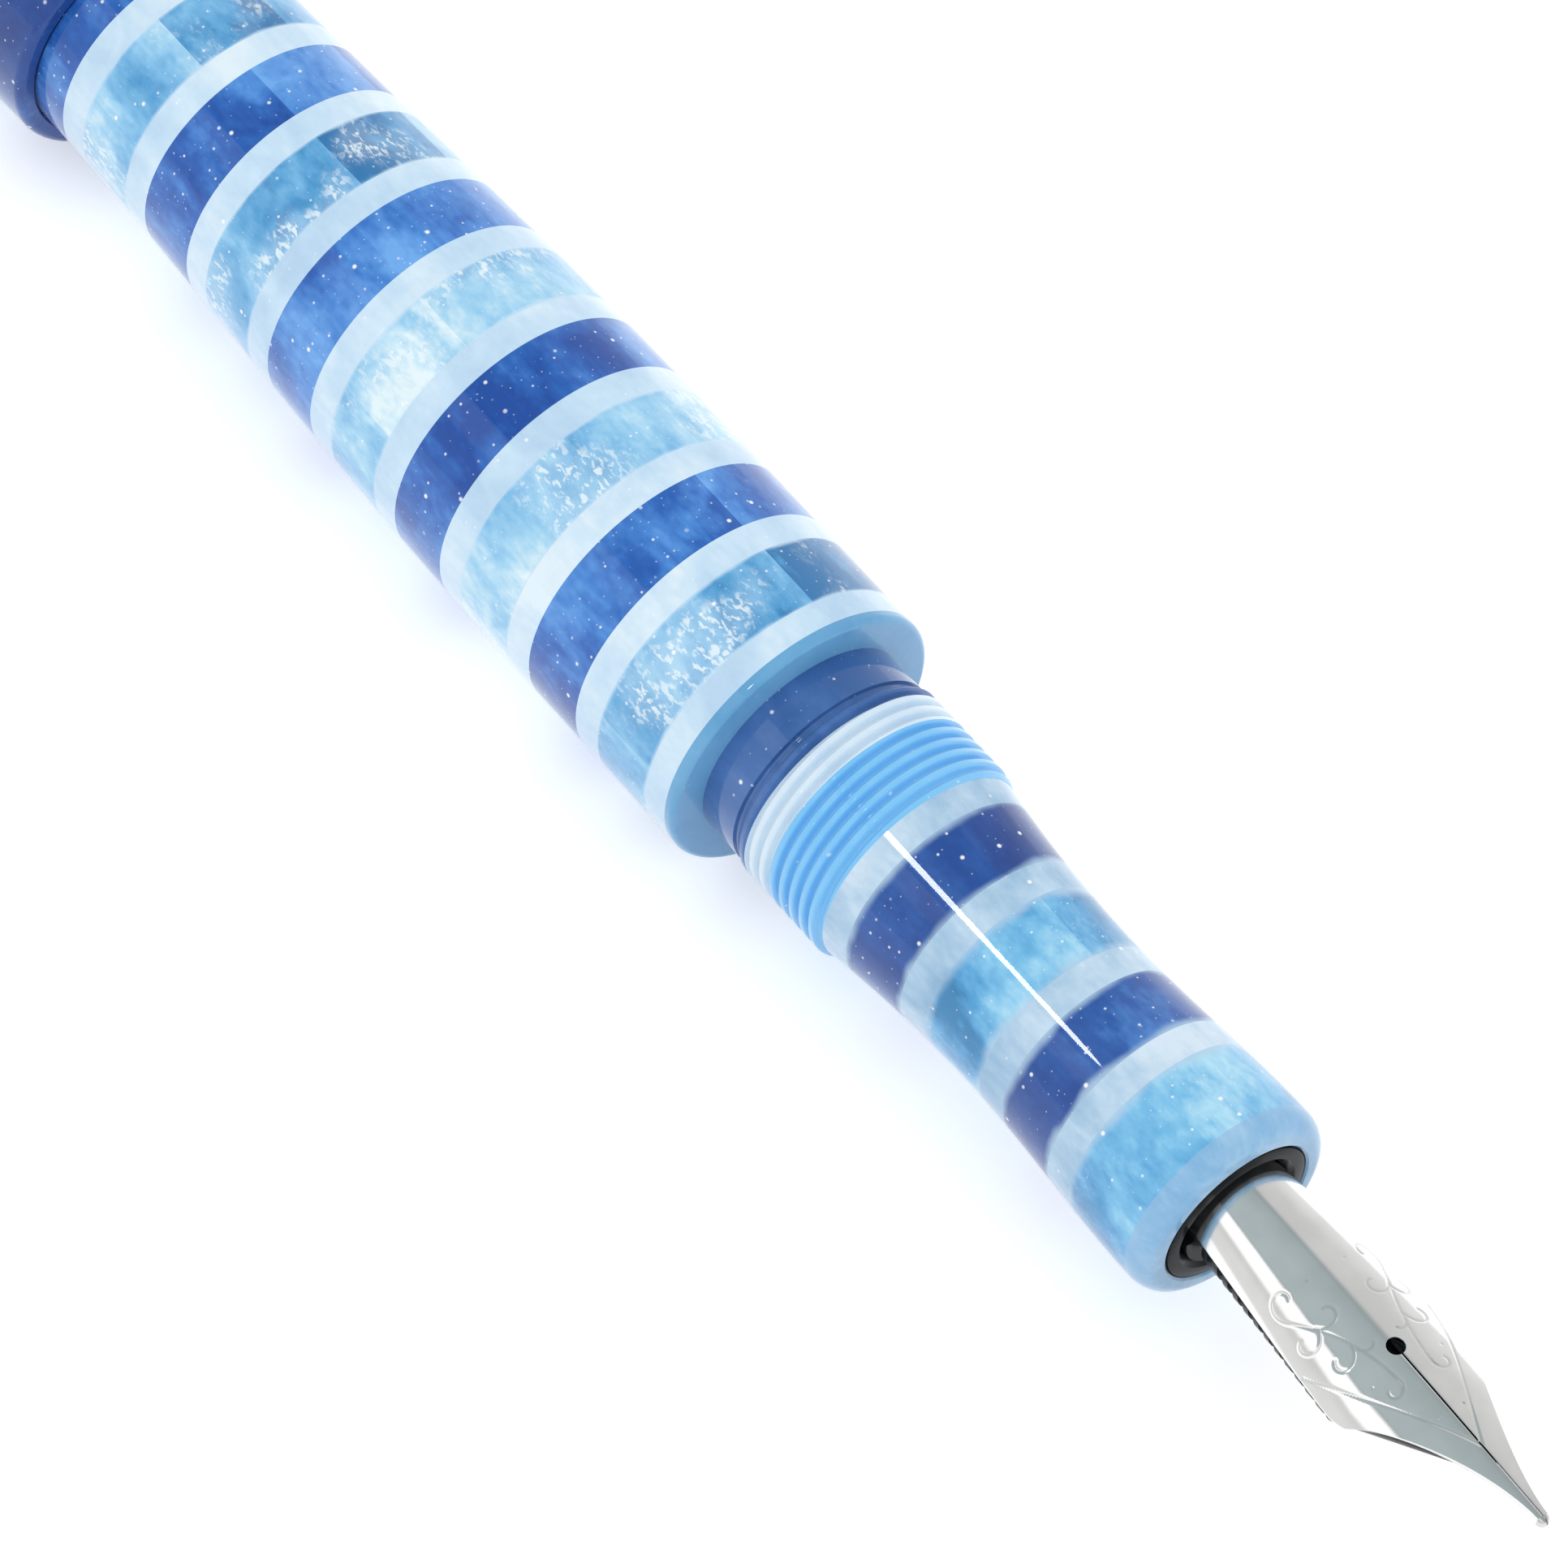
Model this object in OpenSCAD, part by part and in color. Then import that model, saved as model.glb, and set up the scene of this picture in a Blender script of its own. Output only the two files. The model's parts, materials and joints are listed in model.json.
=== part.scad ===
// Fountain pen turned from a laminated resin blank, with its cap posted on the tail.
// The pen lies along X with the nib towards +X and the top of the nib towards +Z.
// The origin is on the pen's axis, at the front shoulder of the barrel. Sizes are in millimetres.

/* [Barrel] */
// Widest diameter of the barrel, at its front shoulder
barrel_d = 16.4; // [15.6:0.1:18]
// Diameter of the barrel where the posted cap's lip sits
barrel_tail_d = 13.9; // [13.6:0.1:14.2]
// Length of barrel that shows behind the front shoulder
barrel_show_len = 55.9; // [50:1:70]
// Length of the slimmer tail that the cap goes over when posted
tail_len = 23.6; // [18:0.2:28]
// Diameter of the tail where it enters the cap's thread
tail_front_d = 12.7; // [12:0.1:12.8]
// Diameter of the tail before its rounded end
tail_rear_d = 11.6; // [10.8:0.1:12]
// Bore of the barrel, around the converter
barrel_bore_d = 9.2; // [8.6:0.1:9.6]
// Thickness of the barrel's closed end
barrel_end_wall = 4.5; // [3:0.5:6]
// Length of the front stretch of the barrel that is a true cylinder
barrel_land_len = 9.4; // [6:0.2:10]

/* [Laminations] */
// Length of one dark blue ring
dark_w = 3.92; // [3:0.02:5]
// Length of one light blue ring
light_w = 4; // [3:0.02:5]
// Length of one thin pearl ring
pearl_w = 1.8; // [1.2:0.05:2.4]
// Length of the thin steel-blue ring on the front shoulder
rim_w = 0.63; // [0.4:0.05:1]
// Length of the first pearl ring, behind that rim
front_pearl_w = 1.56; // [1:0.05:2.4]

/* [Cap thread on the barrel] */
// Crest diameter of the cap thread
cap_thread_d = 12.9; // [12.4:0.1:13.2]
// Pitch of the cap thread
cap_thread_pitch = 0.8; // [0.6:0.05:1.2]
// Depth of the cap thread
cap_thread_depth = 0.4; // [0.3:0.05:0.5]
// Length of the whole collar in front of the shoulder
collar_len = 10.3; // [9:0.1:12]
// Length of the smooth stretch behind the cap thread
collar_plain_len = 3.1; // [2.6:0.1:4]
// Length of collar turned from the dark ring
collar_dark_len = 4.2; // [3.6:0.1:5]
// Length of collar turned from the pearl ring
collar_pearl_len = 2; // [1.2:0.1:2.6]

/* [Section] */
// Length of the grip section in front of the collar
section_len = 25.1; // [22:0.1:30]
// Diameter of the section at the collar
section_rear_d = 12.3; // [12:0.1:12.4]
// Diameter of the section at its waist
section_waist_d = 10.8; // [10.6:0.1:11.4]
// Distance of the waist from the collar
section_waist_at = 10.7; // [8:0.1:13]
// Widest diameter of the section, at its lip
section_lip_d = 11.96; // [11.6:0.02:12.3]
// Length of the rounded edge of the lip
lip_round_len = 1.4; // [1:0.1:2]
// Height of the rounded edge of the lip
lip_round_h = 1; // [0.6:0.1:1.2]
// Length of the pearl ring at the collar
section_pearl_w = 1.6; // [1:0.05:2.4]
// Length of the light blue rings of the section
section_light_w = 4.3; // [3:0.05:5]
// Bore of the section, for the nib housing and the converter
section_bore_d = 7.8; // [7.6:0.05:8]

/* [Section thread] */
// Crest diameter of the thread that holds the section in the barrel
tenon_d = 10.2; // [9.8:0.1:10.4]
// Pitch of the section thread
tenon_pitch = 1; // [0.7:0.05:1.2]
// Depth of the section thread
tenon_depth = 0.35; // [0.25:0.05:0.4]
// Length of the threaded tenon
tenon_len = 8.6; // [7:0.1:9.5]
// Length of the plain neck of the tenon, which carries the O-ring
neck_len = 1.6; // [1.2:0.1:2]
// Thickness of the O-ring
oring_w = 0.8; // [0.6:0.05:0.9]
// Diameter of the neck under the O-ring
neck_d = 9.24; // [9.1:0.02:9.4]

/* [Nib unit] */
// Diameter of the housing's front flange
flange_d = 8.8; // [8.4:0.1:9]
// Thickness of the front flange
flange_w = 0.9; // [0.6:0.1:1.2]
// Diameter of the housing's smooth sleeve
sleeve_d = 7.7; // [7.4:0.05:7.7]
// Length of the smooth sleeve
sleeve_len = 8.5; // [6:0.5:10]
// Crest diameter of the housing's thread
housing_thread_d = 7.4; // [7.2:0.05:7.5]
// Pitch of the housing's thread
housing_pitch = 0.5; // [0.4:0.05:0.7]
// Length of the housing's thread
housing_thread_len = 9; // [7:0.5:10]
// Bore of the housing, for the nib and feed
housing_bore_d = 6.5; // [6.4:0.02:6.6]
// Outside diameter of the nib where it enters the housing
nib_tube_d = 6.4; // [6.2:0.02:6.4]
// Thickness of the nib's sheet
nib_t = 0.45; // [0.35:0.05:0.55]
// Length of the nib that shows in front of the flange
nib_show_len = 22.7; // [20:0.1:25]
// Length of the nib inside the housing
nib_tail_len = 11; // [9:0.5:12]
// Width of the nib at its shoulders
nib_w = 8.4; // [7.8:0.1:9]
// Diameter of the breather hole
breather_d = 1; // [0.8:0.05:1.3]
// Width of the ink slit
slit_w = 0.1; // [0.08:0.02:0.2]
// Diameter of the writing tip
tip_d = 0.8; // [0.6:0.05:1.1]
// Diameter of the cooling fins of the feed
fin_d = 5.4; // [5:0.1:5.4]
// Number of fins on the feed
fin_count = 12; // [8:1:14]

/* [Converter] */
// Outside diameter of the converter's clear tube
tube_d = 6.9; // [6.4:0.1:7]
// Wall of the clear tube
tube_wall = 0.5; // [0.4:0.05:0.7]
// Diameter of the metal sleeve
metal_d = 7.4; // [7.2:0.05:7.6]
// Length of the whole converter
converter_len = 72; // [66:0.5:74]
// Length of the clear tube that shows in front of the metal sleeve
tube_show_len = 22; // [18:1:26]
// Length of the metal sleeve
metal_len = 28; // [22:1:30]
// Length of the turning knob
knob_len = 15; // [12:0.5:17]
// Diameter of the turning knob
knob_d = 6.8; // [6:0.1:7.2]
// Distance that the piston moves for one turn of the knob
piston_lead = 2; // [1:0.1:4]
// Number of turns of the knob from one end to the other
piston_turns = 7; // [5:1:8]

/* [Cap] */
// Outside diameter of the cap at its lip
cap_lip_d = 16.1; // [15.8:0.1:16.6]
// Widest diameter of the cap
cap_d = 16.9; // [16.6:0.1:18]
// Diameter of the cap at the clip ring
cap_crown_d = 15.2; // [14.4:0.1:16]
// Length of the cap from its lip to the clip ring
cap_body_len = 61; // [60:0.5:66]
// Depth of the wide mouth in front of the cap's thread
mouth_depth = 2.5; // [2.4:0.1:3]
// Length of the threaded stretch of the cap
cap_thread_len = 8; // [7:0.5:10]
// Bore of the cap behind its thread
cap_bore_d = 12.6; // [12.5:0.02:12.8]
// Thickness of the clip's ring
clip_ring_w = 0.9; // [0.7:0.1:1.2]
// Length of the finial behind the clip ring
finial_len = 6; // [5:0.5:8]
// Diameter of the flat on the end of the finial
finial_flat_d = 8; // [6:0.5:9]
// Diameter of the finial's threaded stem
stem_d = 8; // [7:0.5:9]
// Length of the finial's stem inside the cap
stem_len = 6; // [5:0.5:8]

/* [Clip] */
// Length of the clip's arm from its bend
clip_len = 40; // [34:1:46]
// Width of the clip's arm
clip_w = 4; // [3:0.1:5]
// Width of the clip's arm at its tip
clip_tip_w = 3; // [2:0.1:4]
// Thickness of the clip's arm
clip_t = 0.8; // [0.6:0.05:1.2]
// Gap between the clip's arm and the widest part of the cap
clip_gap = 1.4; // [1.2:0.1:2]
// Diameter of the ball under the clip's tip
clip_ball_d = 2.6; // [2:0.1:3]

/* [Fits] */
// Radial clearance of pieces that slide or turn on each other
running = 0.05; // [0.03:0.01:0.08]
// Radial clearance of a thread's crests in its plain bore
thread_gap = 0.1; // [0.06:0.01:0.12]
// Gap between faces that don't touch
face_gap = 0.2; // [0.1:0.05:0.4]

/* [Hidden] */
$fn = 96;

DARK = "#2d55b0";
LIGHT = "#8cc4ec";
PEARL = "#d6e2f0";
RIM = "#78a9cc";
STEEL = "#c4c8cc";
BLACK = "#202226";
CLEAR = "#c8dce6";
small = 0.01;

// --- Barrel outline -------------------------------------------------------------------------
swell_power = 1.3;
lip_x = -barrel_show_len;
land_x = -barrel_land_len;
tail_x = lip_x - mouth_depth;
barrel_end_x = lip_x - tail_len;
tail_dome = 0.45;
tail_round = tail_rear_d / 2 * tail_dome;
// Radius of the barrel's outside at x, from its front shoulder to the cap's lip
function barrel_r(x) =
    let (t = max(0, (land_x - x) / (land_x - lip_x)))
    barrel_d / 2 - (barrel_d - barrel_tail_d) / 4 * (1 - cos(180 * pow(t, swell_power)));

// --- Section outline ------------------------------------------------------------------------
section_x = collar_len;
face_x = section_x + section_len;
waist_x = section_x + section_waist_at;
lip_start_x = face_x - lip_round_len;
// Radius of the section's outside at x, an hourglass with its waist nearer the collar
function section_r(x) =
    x < waist_x
        ? (section_waist_d + (section_rear_d - section_waist_d) * pow((waist_x - x) / section_waist_at, 2)) / 2
        : (section_waist_d + (section_lip_d - section_waist_d)
            * (1 - cos(180 * min(1, (x - waist_x) / (lip_start_x - waist_x)))) / 2) / 2;

// --- Cap outline ----------------------------------------------------------------------------
cap_swell_at = 0.4;
cap_ring_x = lip_x - cap_body_len;
cap_swell_x = lip_x - cap_body_len * cap_swell_at;
// Radius of the cap's outside at x, widest at two fifths of its length
function cap_r(x) =
    x > cap_swell_x
        ? (cap_d - (cap_d - cap_lip_d) * pow((x - cap_swell_x) / (lip_x - cap_swell_x), 2)) / 2
        : (cap_d - (cap_d - cap_crown_d) * pow((cap_swell_x - x) / (cap_swell_x - cap_ring_x), 2)) / 2;

// --- Where the ring boundaries fall ---------------------------------------------------------
period = dark_w + light_w + 2 * pearl_w;
barrel_rings_x = -front_pearl_w;
barrel_periods = ceil((barrel_show_len - front_pearl_w) / period);
cap_periods = ceil(cap_body_len / period);

// Solid of revolution about X between two places, with its radius given at each of n steps
module turned(x1, x2, radii) {
    n = len(radii) - 1;
    rotate([0, 90, 0])
        rotate_extrude()
            polygon(concat([[0, x1]], [for (i = [0:n]) [radii[i], x1 + (x2 - x1) * i / n]], [[0, x2]]));
}

// Plain cylinder along X between two places
module rod(x1, x2, d) {
    translate([min(x1, x2), 0, 0])
        rotate([0, 90, 0])
            cylinder(d = d, h = abs(x2 - x1));
}

// Half widths of a thread's crest and of its foot, as shares of the pitch
thread_crest = 0.1;
thread_foot = 0.4;

// Cylinder along X with V grooves cut at a thread's pitch
module threaded_rod(x1, x2, d, pitch, depth) {
    n = floor((x2 - x1) / pitch + small);
    root_r = d / 2 - depth;
    rotate([0, 90, 0])
        rotate_extrude()
            polygon(concat(
                [[0, x1], [root_r, x1]],
                [for (i = [0:n - 1]) each [
                    [root_r, x1 + pitch * (i + 0.5 - thread_foot)],
                    [d / 2, x1 + pitch * (i + 0.5 - thread_crest)],
                    [d / 2, x1 + pitch * (i + 0.5 + thread_crest)],
                    [root_r, x1 + pitch * (i + 0.5 + thread_foot)]
                ]],
                [[root_r, x2], [0, x2]]
            ));
}

// What is left of a solid between two places along X
module between(x1, x2) {
    intersection() {
        children();
        rod(x1, x2, 2 * cap_d);
    }
}

// Steps along the outline of a ring, and along a rounded edge
steps = 4;
round_steps = 8;

// --- Barrel ---------------------------------------------------------------------------------
bore_end_x = barrel_end_x + barrel_end_wall;
tenon_x = section_x - tenon_len;
collar_bore_d = tenon_d + 2 * thread_gap;
oring_seat_d = neck_d + 2 * oring_w + 4 * running;
oring_seat_w = oring_w + face_gap;

module barrel_bore() {
    rod(bore_end_x, tenon_x - face_gap, barrel_bore_d);
    rod(tenon_x - face_gap, section_x + 1, collar_bore_d);
    rod(section_x - oring_seat_w, section_x + 1, oring_seat_d);
}

module barrel_ring(x1, x2) {
    difference() {
        turned(x1, x2, [for (i = [0:steps]) barrel_r(x1 + (x2 - x1) * i / steps)]);
        barrel_bore();
    }
}

// One ring of each period, back from a first boundary and cut off where the tail starts
module barrel_rings(offset, w) {
    for (i = [0:barrel_periods - 1])
        let (x2 = barrel_rings_x - offset - i * period, x1 = max(x2 - w, lip_x))
            if (x2 - x1 > small)
                barrel_ring(x1, x2);
}

module barrel_light_rings() {
    color(LIGHT) barrel_rings(0, light_w);
}

module barrel_dark_rings() {
    color(DARK) barrel_rings(light_w + pearl_w, dark_w);
}

module barrel_pearl_rings() {
    color(PEARL) {
        barrel_ring(-front_pearl_w, 0);
        barrel_rings(light_w, pearl_w);
        barrel_rings(light_w + pearl_w + dark_w, pearl_w);
    }
}

rim_round = 0.6;

module barrel_front_rim() {
    edge = rim_w * rim_round;
    color(RIM)
        difference() {
            turned(0, rim_w, [
                for (i = [0:round_steps])
                    let (x = rim_w * i / round_steps)
                        barrel_d / 2 - edge + sqrt(pow(edge, 2) - pow(max(0, x - rim_w + edge), 2))
            ]);
            barrel_bore();
        }
}

module barrel_tail() {
    step_r = [for (i = [0:round_steps])
        barrel_tail_d / 2 - (barrel_tail_d - tail_front_d) / 4 * (1 - cos(180 * i / round_steps))];
    round_x = barrel_end_x + tail_round;
    color(DARK)
        difference() {
            union() {
                turned(lip_x, tail_x, step_r);
                turned(tail_x, round_x, [tail_front_d / 2, tail_rear_d / 2]);
                turned(round_x, barrel_end_x,
                    [for (i = [0:round_steps]) tail_rear_d / 2 * sqrt(1 - pow(i / round_steps, 3))]);
            }
            barrel_bore();
        }
}

// --- Collar with the cap thread -------------------------------------------------------------
module collar() {
    n = floor((collar_len - collar_plain_len) / cap_thread_pitch);
    start = collar_len - n * cap_thread_pitch;
    difference() {
        union() {
            rod(rim_w, start, cap_thread_d - cap_thread_depth);
            threaded_rod(start, collar_len, cap_thread_d, cap_thread_pitch, cap_thread_depth);
        }
        barrel_bore();
    }
}

module thread_collar_dark() {
    color(DARK) between(rim_w, collar_dark_len) collar();
}

module thread_collar_pearl() {
    color(PEARL) between(collar_dark_len, collar_dark_len + collar_pearl_len) collar();
}

module thread_collar_light() {
    color(LIGHT) between(collar_dark_len + collar_pearl_len, collar_len) collar();
}

// --- Section --------------------------------------------------------------------------------
flange_x = face_x - flange_w;
neck_x = section_x - neck_len;

module section_bore() {
    rod(tenon_x - 1, face_x + 1, section_bore_d);
    rod(flange_x, face_x + 1, flange_d + 2 * running);
}

module section_oring() {
    color(BLACK)
        translate([section_x - oring_seat_w / 2, 0, 0])
            rotate([0, 90, 0])
                rotate_extrude()
                    translate([neck_d / 2 + running + oring_w / 2, 0])
                        circle(d = oring_w, $fn = 32);
}

module section_tenon() {
    color(LIGHT)
        difference() {
            union() {
                threaded_rod(tenon_x, neck_x, tenon_d, tenon_pitch, tenon_depth);
                rod(neck_x, section_x, neck_d);
            }
            section_bore();
        }
}

module section_ring(x1, x2) {
    difference() {
        turned(x1, x2, [for (i = [0:steps]) section_r(x1 + (x2 - x1) * i / steps)]);
        section_bore();
    }
}

section_dark_x = [section_x + section_pearl_w,
    section_x + section_pearl_w + dark_w + 2 * pearl_w + section_light_w];
section_light_x = [for (x = section_dark_x) x + dark_w + pearl_w];

module section_dark_rings() {
    color(DARK)
        for (x = section_dark_x)
            section_ring(x, x + dark_w);
}

module section_light_rings() {
    color(LIGHT) {
        section_ring(section_light_x[0], section_light_x[0] + section_light_w);
        section_ring(section_light_x[1], lip_start_x);
    }
}

module section_pearl_rings() {
    color(PEARL) {
        section_ring(section_x, section_dark_x[0]);
        for (x = section_dark_x)
            section_ring(x + dark_w, x + dark_w + pearl_w);
        section_ring(section_light_x[0] + section_light_w, section_dark_x[1]);
    }
}

module section_lip() {
    color(LIGHT)
        difference() {
            turned(lip_start_x, face_x, [
                for (i = [0:round_steps])
                    section_lip_d / 2 - lip_round_h * (1 - sqrt(1 - pow(i / round_steps, 2)))
            ]);
            section_bore();
        }
}

// --- Nib housing ----------------------------------------------------------------------------
sleeve_x = flange_x - sleeve_len;
housing_x = sleeve_x - housing_thread_len;
nipple_d = 2.4;
nipple_len = 5;
nipple_bore_d = 1.2;
nib_stop_x = face_x - nib_tail_len - 2 * face_gap;
housing_thread_depth = 0.2;
housing_chamfer = 0.3;

module nib_housing() {
    color(BLACK)
        difference() {
            union() {
                rod(flange_x, face_x, flange_d);
                rod(sleeve_x, flange_x, sleeve_d);
                threaded_rod(housing_x, sleeve_x, housing_thread_d, housing_pitch, housing_thread_depth);
                rod(housing_x - nipple_len, housing_x, nipple_d);
            }
            rod(nib_stop_x, face_x + 1, housing_bore_d);
            rod(housing_x - nipple_len - 1, nib_stop_x + 1, nipple_bore_d);
            turned(face_x - housing_chamfer, face_x + small,
                [housing_bore_d / 2, housing_bore_d / 2 + housing_chamfer]);
        }
}

// --- Nib ------------------------------------------------------------------------------------
nib_tip_x = face_x + nib_show_len;
nib_rear_x = face_x - nib_tail_len;
nib_shoulder_at = 0.57;
shoulder_x = face_x + nib_show_len * nib_shoulder_at;
nib_drop = 1.2;
drop_power = 1.5;
flare_power = 1.15;
tine_power = 1.55;
shoulder_round = 0.15;
shoulder_round_len = 1;
nib_tip_w = 0.3;
nib_wrap = 72;
nib_spread = 0.16;
nib_flat_r = 5.2;
// Height of the nib's ridge above the pen's axis
function nib_top(x) = nib_tube_d / 2 - nib_drop * pow(max(0, (x - face_x) / nib_show_len), drop_power);
// Radius of the nib's outside across its sheet
function nib_curve(x) = min(nib_flat_r, nib_tube_d / 2 + nib_spread * max(0, x - face_x));
// Half the width of the nib
function nib_half(x) =
    let (rear_half = nib_tube_d / 2 * sin(nib_wrap), full_x = shoulder_x - shoulder_round_len)
    x < face_x ? rear_half
    : x < shoulder_x
        ? nib_w / 2 - (nib_w / 2 - rear_half) * pow((full_x - min(x, full_x)) / (full_x - face_x), flare_power)
            - shoulder_round * pow(max(0, x - full_x) / shoulder_round_len, 2)
        : nib_tip_w + (nib_w / 2 - shoulder_round - nib_tip_w)
            * pow((nib_tip_x - x) / (nib_tip_x - shoulder_x), tine_power);

nib_nx = 34;
nib_na = 16;

// Point i along the nib and j across it, on the outside or the inside of the sheet
function nib_x(i) = i == 0 ? nib_rear_x
    : i == 1 ? face_x
    : face_x + nib_show_len * (i - 1) / (nib_nx - 1);
function nib_point(i, j, inset) =
    let (x = nib_x(i), r = nib_curve(x), a = asin(nib_half(x) / r) * (2 * j / nib_na - 1))
        [x, (r - inset) * sin(a), nib_top(x) - r + (r - inset) * cos(a)];
function nib_index(i, j, side) = side * (nib_nx + 1) * (nib_na + 1) + i * (nib_na + 1) + j;

module nib_sheet() {
    points = [for (s = [0, nib_t], i = [0:nib_nx], j = [0:nib_na]) nib_point(i, j, s)];
    faces = concat(
        [for (i = [0:nib_nx - 1], j = [0:nib_na - 1])
            [nib_index(i, j, 0), nib_index(i, j + 1, 0), nib_index(i + 1, j + 1, 0), nib_index(i + 1, j, 0)]],
        [for (i = [0:nib_nx - 1], j = [0:nib_na - 1])
            [nib_index(i, j, 1), nib_index(i + 1, j, 1), nib_index(i + 1, j + 1, 1), nib_index(i, j + 1, 1)]],
        [for (i = [0:nib_nx - 1])
            [nib_index(i, 0, 0), nib_index(i + 1, 0, 0), nib_index(i + 1, 0, 1), nib_index(i, 0, 1)]],
        [for (i = [0:nib_nx - 1])
            [nib_index(i, nib_na, 0), nib_index(i, nib_na, 1), nib_index(i + 1, nib_na, 1),
                nib_index(i + 1, nib_na, 0)]],
        [for (j = [0:nib_na - 1])
            [nib_index(0, j, 0), nib_index(0, j, 1), nib_index(0, j + 1, 1), nib_index(0, j + 1, 0)]],
        [for (j = [0:nib_na - 1])
            [nib_index(nib_nx, j, 0), nib_index(nib_nx, j + 1, 0), nib_index(nib_nx, j + 1, 1),
                nib_index(nib_nx, j, 1)]]
    );
    polyhedron(points, faces, convexity = 6);
}

breather_back = 1.4;
breather_x = shoulder_x - breather_back;

module slit() {
    translate([breather_x, -slit_w / 2, 0])
        cube([nib_show_len, slit_w, nib_tube_d]);
}

module nib() {
    color(STEEL)
        difference() {
            nib_sheet();
            translate([breather_x, 0, 0])
                cylinder(d = breather_d, h = nib_tube_d, $fn = 32);
            slit();
        }
}

tip_drop = 0.1;

module nib_tip() {
    color(STEEL)
        difference() {
            translate([nib_tip_x, 0, nib_top(nib_tip_x) - nib_t / 2 - tip_drop])
                sphere(d = tip_d);
            translate([nib_tip_x - tip_d, -tip_d, 0])
                cube([tip_d, 2 * tip_d, nib_tube_d]);
            slit();
        }
}

// --- Feed -----------------------------------------------------------------------------------
feed_gap = 0.02;
feed_core_d = 4.4;
fin_pitch = 0.85;
fin_w = 0.4;
fins_x = face_x + 0.6;
fin_growth = 0.085;
feed_nose_d = 0.9;
nose_rows = 8;
feed_slot_w = 0.4;
feed_slot_depth = 0.8;
feed_reach = 0.828;
feed_top_cut = 0.13;
feed_seat_d = nib_tube_d - 2 * nib_t - 2 * feed_gap;
feed_nose_x = fins_x + fin_count * fin_pitch;
feed_end_x = face_x + nib_show_len * feed_reach;
// Diameter of the feed, which widens with the nib and closes to a nose
function feed_d(x) =
    let (full = fin_d + fin_growth * (min(x, feed_nose_x) - face_x))
    full - (full - feed_nose_d) * max(0, x - feed_nose_x) / (feed_end_x - feed_nose_x);
// Height of the nib's underside above the pen's axis, less the feed's gap
function feed_top(x) = nib_top(x) - nib_t - feed_gap;

module feed_disc(x, h = small) {
    translate([0, 0, feed_top(x) - feed_d(x) / 2])
        rod(x - h, x, feed_d(x), $fn = 48);
}

module feed() {
    color(BLACK)
        difference() {
            union() {
                rod(nib_rear_x, face_x + small, feed_seat_d);
                intersection() {
                    rod(nib_rear_x, face_x, nib_tube_d);
                    translate([nib_rear_x, -nib_tube_d, -nib_tube_d])
                        cube([nib_tail_len, 2 * nib_tube_d, nib_tube_d - feed_top_cut]);
                }
                rod(face_x, feed_nose_x, feed_core_d);
                for (i = [0:fin_count - 1])
                    feed_disc(fins_x + i * fin_pitch + fin_w, fin_w);
                for (i = [0:nose_rows - 1])
                    let (row = (feed_end_x - feed_nose_x) / nose_rows, x = feed_nose_x + i * row)
                        hull() {
                            feed_disc(x);
                            feed_disc(x + row);
                        }
            }
            translate([nib_rear_x - 1, -feed_slot_w / 2, nib_tube_d / 2 - nib_t - feed_slot_depth])
                cube([nib_tail_len + nib_show_len, feed_slot_w, nib_tube_d]);
        }
}

// --- Converter ------------------------------------------------------------------------------
converter_x = housing_x - face_gap;
mouth_d = 5.6;
mouth_len = 7;
mouth_plug_len = 3;
tube_front_x = converter_x - mouth_len;
tube_bore_d = tube_d - 2 * tube_wall;
sleeve_front_x = tube_front_x - tube_show_len;
sleeve_rear_x = sleeve_front_x - metal_len;
knob_x = sleeve_rear_x - face_gap;
knob_end_x = converter_x - converter_len;
spindle_d = 2;
rod_d = 3.6;
sleeve_wall = (metal_d - tube_d) / 2;
sleeve_end_wall = 2;
sleeve_hole_d = spindle_d + 1;
spindle_len = 22;
spindle_pitch = 0.8;
spindle_depth = 0.2;
knob_edge = 0.8;
knob_edge_len = 1;
flute_count = 24;
flute_d = 0.4;
flute_start = 3;

module converter_mouth() {
    color(BLACK)
        difference() {
            union() {
                rod(tube_front_x, converter_x, mouth_d);
                rod(tube_front_x - mouth_plug_len, tube_front_x, tube_bore_d);
            }
            rod(tube_front_x - mouth_plug_len - 1, converter_x + 1, nipple_d + 2 * running);
        }
}

module converter_tube() {
    color(CLEAR)
        difference() {
            rod(sleeve_rear_x + sleeve_end_wall, tube_front_x, tube_d);
            rod(sleeve_rear_x, tube_front_x + 1, tube_bore_d);
        }
}

module converter_sleeve() {
    color(STEEL)
        difference() {
            rod(sleeve_rear_x, sleeve_front_x, metal_d);
            rod(sleeve_rear_x + sleeve_end_wall, sleeve_front_x + 1, metal_d - 2 * sleeve_wall);
            rod(sleeve_rear_x - 1, sleeve_front_x, sleeve_hole_d);
        }
}

spindle_front_x = sleeve_rear_x + spindle_len;

module converter_knob() {
    color(BLACK)
        difference() {
            union() {
                rod(knob_end_x + knob_edge_len, knob_x, knob_d);
                turned(knob_end_x, knob_end_x + knob_edge_len, [knob_d / 2 - knob_edge, knob_d / 2]);
            }
            for (i = [0:flute_count - 1])
                rotate([360 / flute_count * i, 0, 0])
                    translate([0, 0, knob_d / 2])
                        rod(knob_end_x - 1, knob_x - flute_start, flute_d, $fn = 16);
        }
}

module converter_spindle() {
    color(STEEL)
        threaded_rod(knob_x, spindle_front_x, spindle_d, spindle_pitch, spindle_depth);
}

piston_travel = piston_lead * piston_turns;
seal_len = 4;
seal_lip_w = 1;
seal_grip = 2;
seal_rear_x = tube_front_x - mouth_plug_len - piston_travel - face_gap - seal_len;
rod_rear_x = sleeve_rear_x + sleeve_end_wall + 1;

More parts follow.
